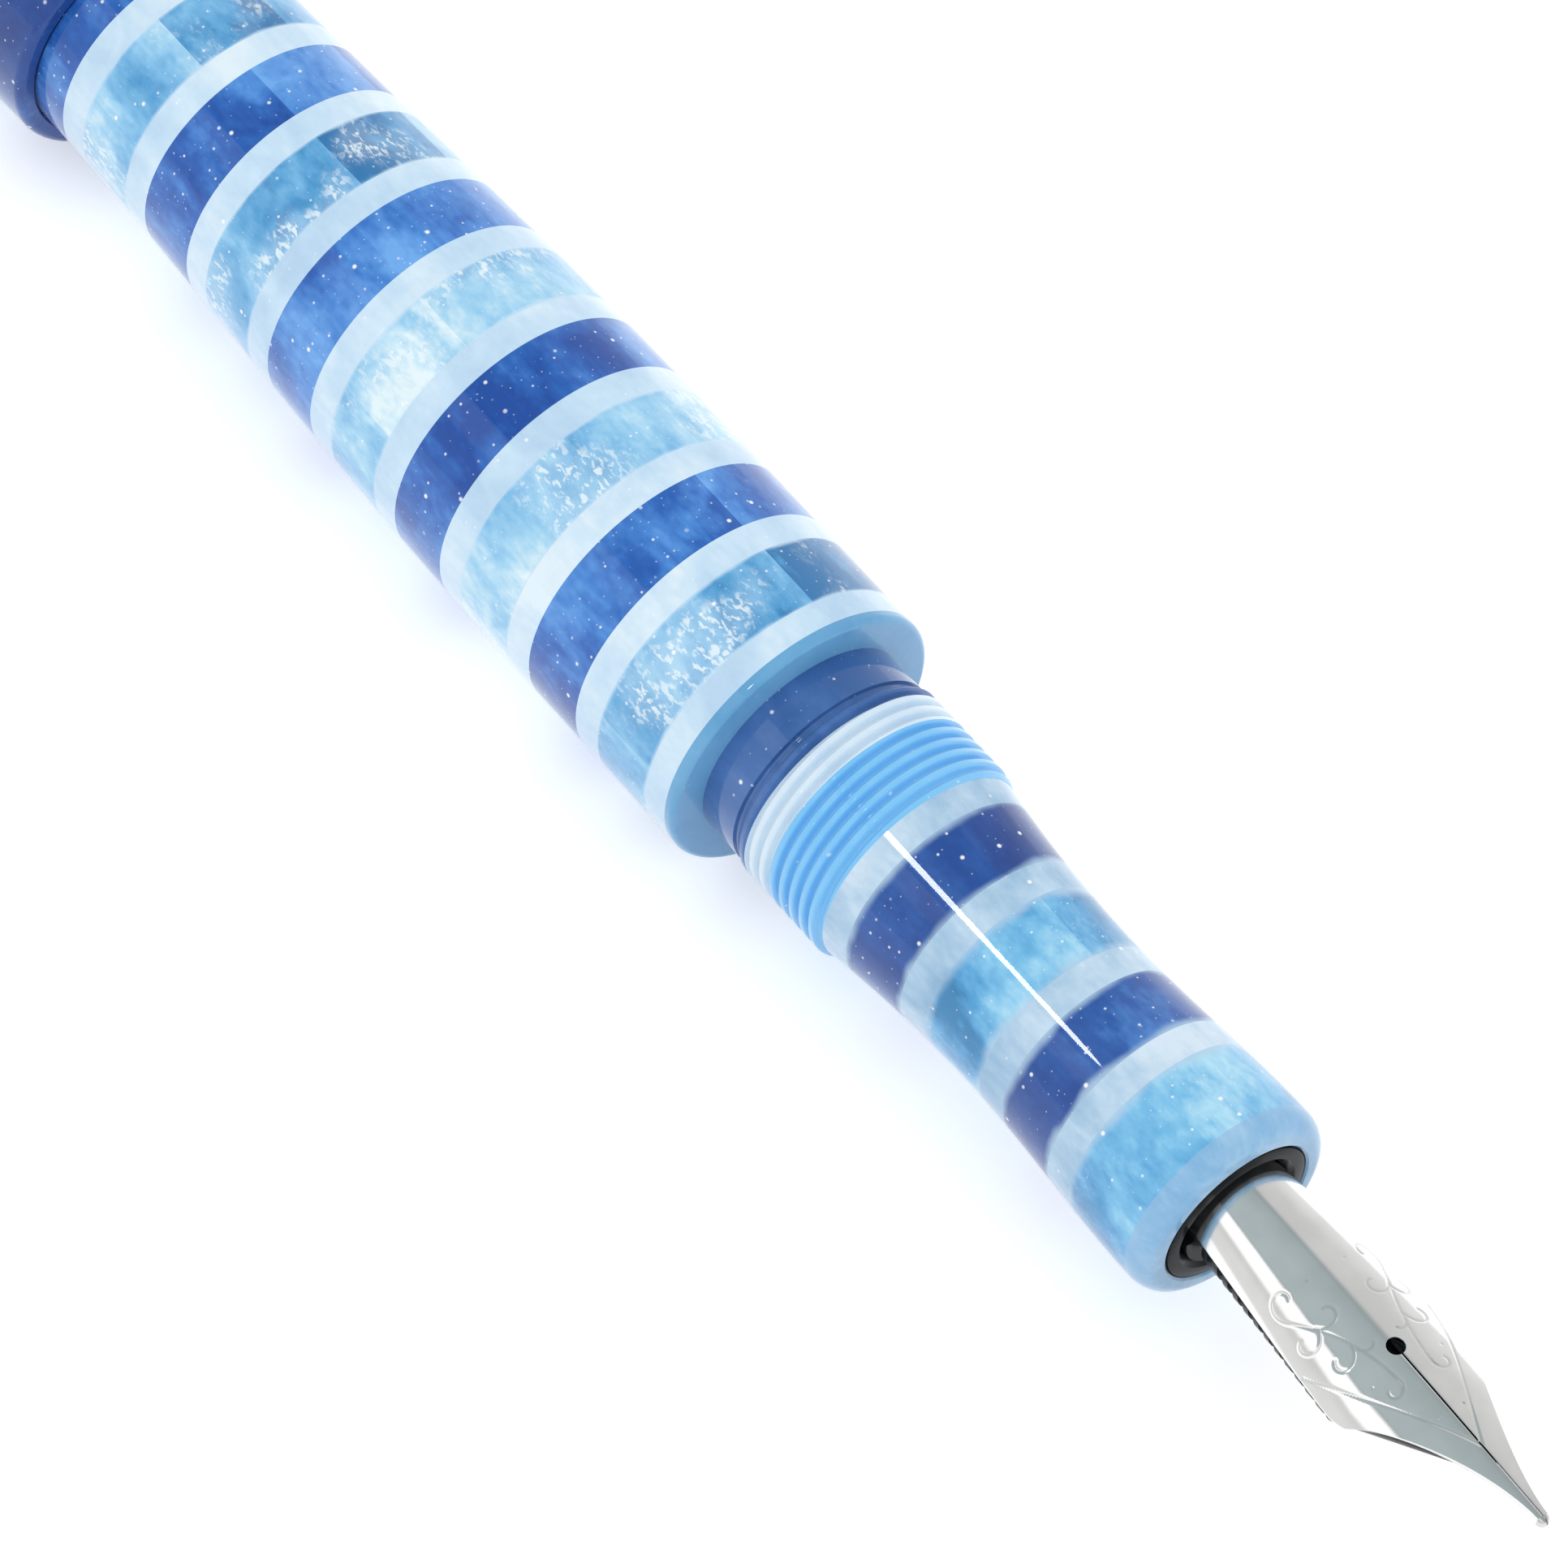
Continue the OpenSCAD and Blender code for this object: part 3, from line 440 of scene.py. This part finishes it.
def fit(piece, node, finish):
    """The piece stands for a CAD node, and moves with that node's body."""
    piece.data.materials.clear()
    piece.data.materials.append(FINISHES[finish].material)
    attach(piece, BODY_OF[node])
    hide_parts(node)


def outline(nodes, bore):
    """Steps (x, outer radius) of turned nodes, front to back, in mm."""
    widest = {}
    for node in nodes:
        for vertex in NODES[node].data.vertices:
            r = math.hypot(vertex.co.y, vertex.co.z) / MM
            if r > bore:
                x = round(vertex.co.x / MM, 3)
                widest[x] = max(widest.get(x, 0), r)
    return sorted(widest.items())


def radius_at(steps, x):
    """Outer radius at x, on a smooth curve through an outline's steps."""
    i = max(0, min(len(steps) - 2, sum(1 for step in steps if step[0] <= x) - 1))
    (xa, ra), (xb, rb) = steps[i], steps[i + 1]
    xo, ro = steps[max(i - 1, 0)]
    xc, rc = steps[min(i + 2, len(steps) - 1)]
    width = xb - xa
    slope_a = (rb - ro) / (xb - xo) * width
    slope_b = (rc - ra) / (xc - xa) * width
    t = (x - xa) / width
    return (ra * (2 * t**3 - 3 * t**2 + 1) + slope_a * (t**3 - 2 * t**2 + t)
            + rb * (3 * t**2 - 2 * t**3) + slope_b * (t**3 - t**2))


def ring(steps, x1, x2, bore, spacing=0.5):
    """Closed cross-section of a ring between two places, with the outline outside and a bore inside."""
    count = max(2, round((x2 - x1) / spacing))
    return [(x, radius_at(steps, x)) for x in spread(x1, x2, count)] + [(x2, bore), (x1, bore)]


# The last ring of a row takes in a remainder shorter than this
STUB = 1.0


def laminations(start, end, first, repeat):
    """Places of rings from start to end, as {kind: [(x1, x2)]}.

    First is the (kind, length) of the first ring, and repeat those of the rings after it.
    """
    step = 1 if end > start else -1
    places, x = {}, start
    for kind, length in chain([first], cycle(repeat)):
        ahead = x + step * length
        if (end - ahead) * step < STUB:
            ahead = end
        places.setdefault(kind, []).append((min(x, ahead), max(x, ahead)))
        x = ahead
        if x == end:
            return places


# Half the width of a thread at its foot, and the length of its flank, as shares of its pitch
THREAD_FOOT, THREAD_FLANK = 0.42, 0.26


def cut_thread(piece, start, end, pitch, root, crest, fade=0.7):
    """Raises a right-hand thread on the piece's outside between two places."""
    for vertex in piece.data.vertices:
        x = vertex.co.x / MM
        r = math.hypot(vertex.co.y, vertex.co.z) / MM
        if r < root - 0.05 or not start <= x <= end:
            continue
        turn = (x / pitch - math.atan2(vertex.co.z, vertex.co.y) / math.tau) % 1
        height = smooth(min(1, max(0, (THREAD_FOOT - abs(turn - 0.5)) / THREAD_FLANK)))
        height *= min(1, (x - start) / fade) * min(1, (end - x) / fade + 0.25)
        scale = (root + (crest - root) * height) / r
        vertex.co.y *= scale
        vertex.co.z *= scale


# ---------------------------------------------------------------------------------------------
# Barrel
# ---------------------------------------------------------------------------------------------
BORE = 4.6
RING_NODES = {"dark": "barrel_dark_rings", "light": "barrel_light_rings", "pearl": "barrel_pearl_rings"}
barrel_steps = outline(RING_NODES.values(), BORE + 0.5)
barrel_end = min(back(node) for node in RING_NODES.values())
barrel_rings = laminations(front("barrel_pearl_rings"), barrel_end, ("pearl", -FIRST_RING), [
    ("light", LIGHT_RING), ("pearl", PEARL_RING), ("dark", DARK_RING), ("pearl", PEARL_RING)])
for kind, node in RING_NODES.items():
    piece = turned(f"barrel_{kind}_laminations",
                   [ring(barrel_steps, x1, x2, BORE) for x1, x2 in barrel_rings[kind]])
    fit(piece, node, f"barrel_{kind}")

# Front rim: a rounded edge, with the shoulder's face in front
EDGE = 0.38
rim_x, rim_r = front("barrel_front_rim"), radius("barrel_front_rim")
rim = [(0, BORE), (0, rim_r), (rim_x - EDGE, rim_r)]
rim += [(rim_x - EDGE + EDGE * math.sin(a), rim_r - EDGE + EDGE * math.cos(a))
        for a in spread(0, math.pi / 2, 10)[1:]]
rim += [(rim_x, BORE)]
fit(turned("barrel_rim", [rim]), "barrel_front_rim", "rim")

# Tail under the posted cap: a cone with a closed dome at its end
TAIL_WALL, TAIL_DOME, CONE_START = 4.5, 2.61, 3
tail_steps = outline(["barrel_tail"], BORE + 0.1)
tail_front, tail_end = front("barrel_tail"), back("barrel_tail")
tail_r = radius_at(tail_steps, tail_end + TAIL_DOME + 0.4)
tail = [(tail_end + TAIL_DOME * (1 - t), tail_r * math.sqrt(max(0, 1 - t**3)))
        for t in reversed(spread(0, 1, 24))]
tail += [(x, r) for x, r in tail_steps if x > tail_end + CONE_START]
tail += [(tail_front, BORE), (tail_end + TAIL_WALL, BORE), (tail_end + TAIL_WALL, 0)]
fit(turned("barrel_tail_turned", [tail]), "barrel_tail", "solid")

# Collar with the cap thread
THREAD_CREST, THREAD_ROOT, PITCH = 6.45, 6.05, 0.8
COLLAR_BORE, PLAIN_END, PLAIN_DROP = 5.2, 3.1, 0.2
collar_front = front("thread_collar_light")
for node in ("thread_collar_dark", "thread_collar_pearl", "thread_collar_light"):
    x1, x2 = back(node), front(node)
    outside = [(x, THREAD_CREST - PLAIN_DROP if x < PLAIN_END else THREAD_ROOT)
               for x in spread(x1, x2, round((x2 - x1) / 0.05))]
    piece = turned(node + "_turned", [outside + [(x2, COLLAR_BORE), (x1, COLLAR_BORE)]])
    cut_thread(piece, PLAIN_END, collar_front, PITCH, THREAD_ROOT, THREAD_CREST)
    fit(piece, node, node.replace("thread_", ""))

# ---------------------------------------------------------------------------------------------
# Section
# ---------------------------------------------------------------------------------------------
SECTION_BORE = 3.9
section_front = front("section_lip")
lip_start = back("section_lip")
SECTION_NODES = {"dark": "section_dark_rings", "light": "section_light_rings", "pearl": "section_pearl_rings"}
section_steps = outline(SECTION_NODES.values(), SECTION_BORE + 0.6)
section_rings = laminations(SECTION_REAR, lip_start, ("pearl", SECTION_PEARL), [
    ("dark", DARK_RING), ("pearl", PEARL_RING), ("light", SECTION_LIGHT), ("pearl", PEARL_RING)])
for kind, node in SECTION_NODES.items():
    piece = turned(f"section_{kind}_laminations",
                   [ring(section_steps, x1, x2, SECTION_BORE, 0.3) for x1, x2 in section_rings[kind]])
    fit(piece, node, f"section_{kind}")

# Rounded lip, with a seat for the housing's flange
LIP_DROP, FLANGE_R, FLANGE_LEN, SEAT_EDGE = 1.0, 4.45, 0.9, 0.1
lip_r = radius_at(section_steps, lip_start)
lip = [(lip_start + (section_front - lip_start) * math.sin(a), lip_r - LIP_DROP * (1 - math.cos(a)))
       for a in spread(0, math.pi / 2, 16)]
lip += [(section_front, FLANGE_R + 0.12), (section_front - SEAT_EDGE, FLANGE_R),
        (section_front - FLANGE_LEN, FLANGE_R), (section_front - FLANGE_LEN, SECTION_BORE),
        (lip_start, SECTION_BORE)]
fit(turned("section_lip_turned", [lip]), "section_lip", "lip")

# Tenon that screws into the barrel
tenon_back, tenon_front = back("section_tenon"), front("section_tenon")
TENON_CREST, TENON_ROOT, TENON_PITCH, NECK, NECK_LEN = 5.1, 4.75, 1.0, 4.62, 1.6
neck_start = tenon_front - NECK_LEN
tenon = [(x, TENON_ROOT) for x in spread(tenon_back, neck_start, round((neck_start - tenon_back) / 0.08))]
tenon += [(neck_start, NECK), (tenon_front, NECK), (tenon_front, SECTION_BORE), (tenon_back, SECTION_BORE)]
piece = turned("section_tenon_turned", [tenon])
cut_thread(piece, tenon_back, neck_start - 0.01, TENON_PITCH, TENON_ROOT, TENON_CREST)
fit(piece, "section_tenon", "section_light")

# ---------------------------------------------------------------------------------------------
# Nib unit
# ---------------------------------------------------------------------------------------------
HOUSING_BORE, SLEEVE_R, HOUSING_R, NIPPLE_R, NIPPLE_BORE = 3.25, 3.85, 4.4, 1.2, 0.6
HOUSING_THREAD, HOUSING_ROOT, HOUSING_PITCH, HOUSING_STEP = 3.7, 3.5, 0.5, 3.3
face = front("nib_housing")
sleeve_back, seat, thread_back, nipple_back = face - 9.4, face - 11.4, face - 18.4, face - 23.4
housing = [(nipple_back, NIPPLE_BORE), (nipple_back, NIPPLE_R), (thread_back, NIPPLE_R),
           (thread_back, HOUSING_STEP)]
housing += [(x, HOUSING_ROOT)
            for x in spread(thread_back, sleeve_back, round((sleeve_back - thread_back) / 0.045))]
housing += [(sleeve_back, SLEEVE_R), (face - FLANGE_LEN, SLEEVE_R), (face - FLANGE_LEN, HOUSING_R),
            (face - 0.22, HOUSING_R), (face - 0.06, HOUSING_R - 0.06), (face, HOUSING_R - 0.2),
            (face, HOUSING_BORE + 0.42), (face - 0.08, HOUSING_BORE + 0.3), (face - 0.45, HOUSING_BORE),
            (seat, HOUSING_BORE), (seat, NIPPLE_BORE)]
piece = turned("housing_turned", [housing], 128)
cut_thread(piece, thread_back, sleeve_back - 0.01, HOUSING_PITCH, HOUSING_ROOT, HOUSING_THREAD, 0.4)
fit(piece, "nib_housing", "black")

# Nib: one sheet, rolled at the back, with a slit between its tines
NIB_SHEET, NIB_REAR_R, NIB_HALF, NIB_SHOW = 0.45, 3.2, 4.2, 22.7
REAR_HALF, TIP_HALF = NIB_REAR_R * math.sin(math.radians(72)), 0.3
RIDGE_FALL, FLATTEST_R, FLATTEN = 1.2, 5.2, 0.16
HOLE_BACK, HOLE_R, SLIT_HALF, ROUNDING = 1.4, 0.5, 0.05, 0.15
nib_rear, nib_tip = back("nib"), front("nib")
shoulder = face + NIB_SHOW * 0.57
full_x = shoulder - 1
hole_x = shoulder - HOLE_BACK


def nib_height(x):
    """Height of the nib's ridge above the pen's axis."""
    return NIB_REAR_R - RIDGE_FALL * max(0, (x - face) / NIB_SHOW) ** 1.5


def nib_curve(x):
    """Radius of the nib's outside across its sheet."""
    return min(FLATTEST_R, NIB_REAR_R + FLATTEN * max(0, x - face))


def nib_half(x):
    """Half the nib's width: it flares to its full width, rounds over the shoulder and tapers to the tip."""
    if x < face:
        return REAR_HALF
    if x < shoulder:
        flare = max(0, (full_x - x) / (full_x - face)) ** 1.15
        return NIB_HALF - (NIB_HALF - REAR_HALF) * flare - ROUNDING * max(0, x - full_x) ** 2
    return TIP_HALF + (NIB_HALF - ROUNDING - TIP_HALF) * max(0, (nib_tip - x) / (nib_tip - shoulder)) ** 1.55


def curl(x, across, heading, length, wide, tight, side, points=90):
    """A scroll from a start and a heading in degrees, wound to one side from a wide radius to a tight one."""
    turn = math.radians(heading)
    line = []
    for i in range(points):
        line.append((x, across))
        turn += side * length / points / (wide * (tight / wide) ** (i / points))
        x += length / points * math.cos(turn)
        across += length / points * math.sin(turn)
    return line


def sweep(*corners, points=60):
    """A smooth line whose corners are its Bezier handles."""
    line = []
    for t in spread(0, 1, points):
        row = list(corners)
        while len(row) > 1:
            row = [(a[0] + (b[0] - a[0]) * t, a[1] + (b[1] - a[1]) * t) for a, b in zip(row, row[1:])]
        line += row
    return line


# Engraved lines on one half of the nib, as (x, distance from the slit), with three dots at the end
engraving = [
    sweep((45.0, 4.6), (48.2, 2.9), (50.8, 1.3), (53.4, 0.06)),
    sweep((42.6, 3.3), (44.6, 1.7), (46.6, 1.15), (48.5, 1.0)),
    curl(48.5, 1.0, -2, 1.7, 0.75, 0.26, 1),
    curl(42.6, 3.3, 140, 3.0, 1.5, 0.34, 1),
    curl(43.9, 2.37, 20, 2.6, 1.3, 0.32, 1),
    curl(45.6, 1.68, 10, 2.4, 1.3, 0.30, 1),
    curl(43.7, 2.45, -35, 2.4, 1.2, 0.30, -1),
    curl(45.9, 1.55, -22, 1.1, 0.9, 0.26, -1),
    [(41.6, 1.2), (47.9, 2.3), (51.2, 0.75)],
]
GROOVE_HALF, GROOVE_DEPTH = 0.13, 0.042
groove_points = list(chain(*engraving))
groove = KDTree(len(groove_points))
for i, (x, across) in enumerate(groove_points):
    groove.insert((x, across, 0), i)
groove.balance()

# Places of the sheet's rows: coarse behind the scrolls, fine through them, and even round the hole
FINE, ROUGH_STEPS, ENGRAVED_FROM, ACROSS = 0.055, 30, 40.6, 64
hole_rows = [hole_x - HOLE_R * math.cos(a) for a in spread(0, math.pi, 24)]
stations = [nib_rear, face - 5, face - 0.5]
stations += spread(face, ENGRAVED_FROM, ROUGH_STEPS)[:-1]
stations += spread(ENGRAVED_FROM, hole_rows[0], round((hole_rows[0] - ENGRAVED_FROM) / FINE))[:-1]
stations += hole_rows
stations += spread(hole_rows[-1], nib_tip, round((nib_tip - hole_rows[-1]) / FINE))[1:]

start_alone()
bpy.ops.mesh.primitive_grid_add(x_subdivisions=len(stations) - 1, y_subdivisions=ACROSS, size=2)
nib = bpy.context.object
nib.name = nib.data.name = "nib_sheet"
# The engraved attribute marks the grooves. The steel finish darkens them with painted shade.
cuts = nib.data.attributes.new("engraved", "FLOAT", "POINT")
for vertex in nib.data.vertices:
    x = stations[round((vertex.co.x + 1) / 2 * (len(stations) - 1))]
    share = (vertex.co.y + 1) / 2
    inner = math.sqrt(max(0, HOLE_R**2 - (x - hole_x) ** 2))
    if x > hole_x:
        inner = max(inner, SLIT_HALF)
    r = nib_curve(x)
    a_in, a_out = math.asin(inner / r), math.asin(nib_half(x) / r)
    a = a_in + (a_out - a_in) * share
    gap = groove.find((x, r * a, 0))[2]
    cut = smooth(max(0, 1 - gap / GROOVE_HALF)) if x > face + 1 else 0
    cuts.data[vertex.index].value = cut
    deep = r - GROOVE_DEPTH * cut
    vertex.co = Vector((x, deep * math.sin(a), nib_height(x) - r + deep * math.cos(a))) * MM
mirror = nib.modifiers.new("mirror", "MIRROR")
mirror.use_axis = (False, True, False)
mirror.merge_threshold = 0.002 * MM
sheet = nib.modifiers.new("sheet", "SOLIDIFY")
sheet.thickness, sheet.offset = NIB_SHEET * MM, -1
edges = nib.modifiers.new("edges", "BEVEL")
edges.width, edges.segments = 0.035 * MM, 2
edges.angle_limit = math.radians(55)
for modifier in ("mirror", "sheet", "edges"):
    bpy.ops.object.modifier_apply(modifier=modifier)
bpy.ops.object.shade_smooth_by_angle(angle=math.radians(40))
fit(nib, "nib", "steel")

# Pieces that keep the shape of their CAD nodes
for node, finish in (
        ("nib_tip", "alloy"), ("feed", "black"), ("section_oring", "rubber"), ("converter_mouth", "black"),
        ("converter_tube", "clear"), ("converter_sleeve", "plated"), ("converter_knob", "black"),
        ("converter_spindle", "plated"), ("piston_rod", "black"), ("piston_seal", "rubber"),
        ("clip_ring", "clip"), ("clip_arm", "clip")):
    NODES[node].data.materials.clear()
    NODES[node].data.materials.append(FINISHES[finish].material)

# ---------------------------------------------------------------------------------------------
# Cap
# ---------------------------------------------------------------------------------------------
CAP_BORE, CAP_MOUTH, CAP_THREAD_BORE = 6.3, 7.0, 6.55
FINIAL_BORE, CAP_FLOOR = 4.0, 2.0
CAP_NODES = {"dark": "cap_dark_rings", "light": "cap_light_rings", "pearl": "cap_pearl_rings"}
cap_steps = outline(CAP_NODES.values(), CAP_MOUTH + 0.2)
cap_end = min(back(node) for node in CAP_NODES.values())
cap_rings = laminations(LIP_BACK, cap_end, ("pearl", PEARL_RING), [
    ("light", LIGHT_RING), ("pearl", PEARL_RING), ("dark", DARK_RING), ("pearl", PEARL_RING)])
thread_front, thread_end = CAP_LIP - 2.5, CAP_LIP - 10.5


def cap_ring(x1, x2):
    """Cross-section of a cap ring, with the steps of the cap's bore that fall inside it."""
    section = ring(cap_steps, x1, x2, CAP_BORE)[:-2]
    bores = [(cap_end, cap_end + CAP_FLOOR, FINIAL_BORE), (cap_end + CAP_FLOOR, thread_end, CAP_BORE),
             (thread_end, thread_front, CAP_THREAD_BORE)]
    for start, end, bore in reversed(bores):
        if start < x2 - 0.001 and end > x1 + 0.001:
            section += [(min(end, x2), bore), (max(start, x1), bore)]
    return section


for kind, node in CAP_NODES.items():
    piece = turned(f"cap_{kind}_laminations", [cap_ring(x1, x2) for x1, x2 in cap_rings[kind]])
    fit(piece, node, f"cap_{kind}")

LIP_EDGE, LIP_BEVEL = 0.5, 0.1
lip_rear_r = cap_steps[-1][1]
lip_front_r = radius_at(outline(["cap_lip"], CAP_MOUTH + 0.6), CAP_LIP - LIP_EDGE)
cap_lip = [(LIP_BACK, CAP_THREAD_BORE), (LIP_BACK, lip_rear_r)]
cap_lip += [(CAP_LIP - LIP_EDGE + LIP_EDGE * math.sin(a), lip_front_r - LIP_EDGE * (1 - math.cos(a)))
            for a in spread(0, math.pi / 2, 12)]
cap_lip += [(CAP_LIP, CAP_MOUTH + LIP_BEVEL), (CAP_LIP - LIP_BEVEL, CAP_MOUTH), (thread_front, CAP_MOUTH),
            (thread_front, CAP_THREAD_BORE)]
fit(turned("cap_lip_turned", [cap_lip]), "cap_lip", "cap_dark")

# Finial: a crown with a flat end, and a stem that screws through the clip's ring
CROWN_LEN, CROWN_R, CROWN_FLAT, STEM_R = 6, 7.6, 4.0, 3.6
finial_back, stem_front = back("cap_finial"), front("cap_finial")
finial_front = finial_back + CROWN_LEN
finial = [(finial_back, 0)]
finial += [(finial_front - CROWN_LEN * t, CROWN_FLAT + (CROWN_R - CROWN_FLAT) * math.sqrt(max(0, 1 - t**2.4)))
           for t in reversed(spread(0, 1, 28))]
finial += [(finial_front, STEM_R), (stem_front, STEM_R), (stem_front, 0)]
fit(turned("finial_turned", [finial]), "cap_finial", "solid")

# ---------------------------------------------------------------------------------------------
# Floor, lights and camera
# ---------------------------------------------------------------------------------------------
scene = bpy.context.scene
scene.view_settings.view_transform = "Standard"

camera_data = bpy.data.cameras.new("camera")
camera_data.sensor_width = 36
camera_data.lens = 226.25
camera_data.clip_start = 0.01
camera = bpy.data.objects.new("camera", camera_data)
RIGHT = Vector((0.61488, 0.78320, 0.09235))
DOWN = Vector((0.66888, -0.45590, -0.58716))
AHEAD = Vector((-0.41777, 0.42280, -0.80418))
STANDPOINT = Vector((209.57, -212.16, 399.02)) * MM
camera.matrix_world = Matrix.Translation(STANDPOINT) @ Matrix((RIGHT, -DOWN, -AHEAD)).transposed().to_4x4()
scene.collection.objects.link(camera)
scene.camera = camera

start_alone()
bpy.ops.mesh.primitive_plane_add(size=6, location=(0, 0, cad_box[0][2]))
floor = bpy.context.object
floor.name = "floor"
pale = Finish("pale_floor", Roughness=0.7, Specular_IOR_Level=0.1, Emission_Strength=1.0)
path = pale.node("LightPath").outputs
seen = Number(pale, path["Is Camera Ray"]).math("MAXIMUM", path["Is Glossy Ray"])
pale.paint(Base_Color=(0.945, 0.955, 0.965), Emission_Color=pale.mix(seen, (0, 0, 0), (0.40, 0.40, 0.40)))
floor.data.materials.append(pale.material)

# Directions across the pen as the camera sees it: towards the camera, and to its right
ACROSS_UP = Vector((0, -0.4695, 0.8829))
ACROSS_RIGHT = Vector((0, 0.8829, 0.4695))

# The studio: even white light, with a bright bank on the left and a dim room on the right in reflections.
# Stops are (degrees about the pen, brightness), and the dim ones are cooler.
STUDIO_STOPS = [
    (-180, 0.9), (-120, 0.95), (-70, 0.92), (-42, 0.88), (-31, 0.74), (-27, 1.35), (-9, 1.4), (-7, 0.36),
    (-4, 0.58), (20, 0.57), (48, 0.50), (53, 0.40), (58, 0.72), (85, 0.76), (115, 0.95)]
COOL, NEUTRAL, COOL_BELOW = (0.86, 1.0, 1.04), (1, 1, 1), 0.62


def studio_colour(level):
    """Colour of the studio where it is this bright."""
    return [level * c for c in (COOL if level < COOL_BELOW else NEUTRAL)]


world = bpy.data.worlds.new("studio")
scene.world = world
world.use_nodes = True
studio = Nodes(world.node_tree)
way = studio.node("TexCoord").outputs["Generated"]
upward, rightward = (
    Number(studio, studio.node("VectorMath", {"operation": "DOT_PRODUCT"}, way, axis).outputs["Value"])
    for axis in (ACROSS_UP, ACROSS_RIGHT))
around = rightward.math("ARCTAN2", upward) / math.tau + 0.5
panorama = studio.ramp(around, [(turn / 360 + 0.5, studio_colour(level)) for turn, level in STUDIO_STOPS])
mirrored = Number(studio, studio.node("LightPath").outputs["Is Glossy Ray"])
sky = studio.tree.nodes["Background"]
studio.feed(sky.inputs["Color"], studio.mix(mirrored, NEUTRAL, panorama))
sky.inputs["Strength"].default_value = 1.0

# A narrow lamp over the section, seen only as a reflection
STRIP_HEIGHT, STRIP_X = 35 * MM, 6.6 * MM
strip_data = bpy.data.lights.new("strip", "AREA")
strip_data.shape = "ELLIPSE"
strip_data.size, strip_data.size_y = 6.8 * MM, 3.2 * MM
strip_data.energy = 0.0015
strip = bpy.data.objects.new("strip", strip_data)
strip.matrix_world = Matrix.Translation(ACROSS_UP * STRIP_HEIGHT + Vector((STRIP_X, 0, 0))) @ Matrix(
    ((1, 0, 0), ACROSS_RIGHT, ACROSS_UP)).transposed().to_4x4()
strip.visible_diffuse = False
strip.visible_camera = False
scene.collection.objects.link(strip)
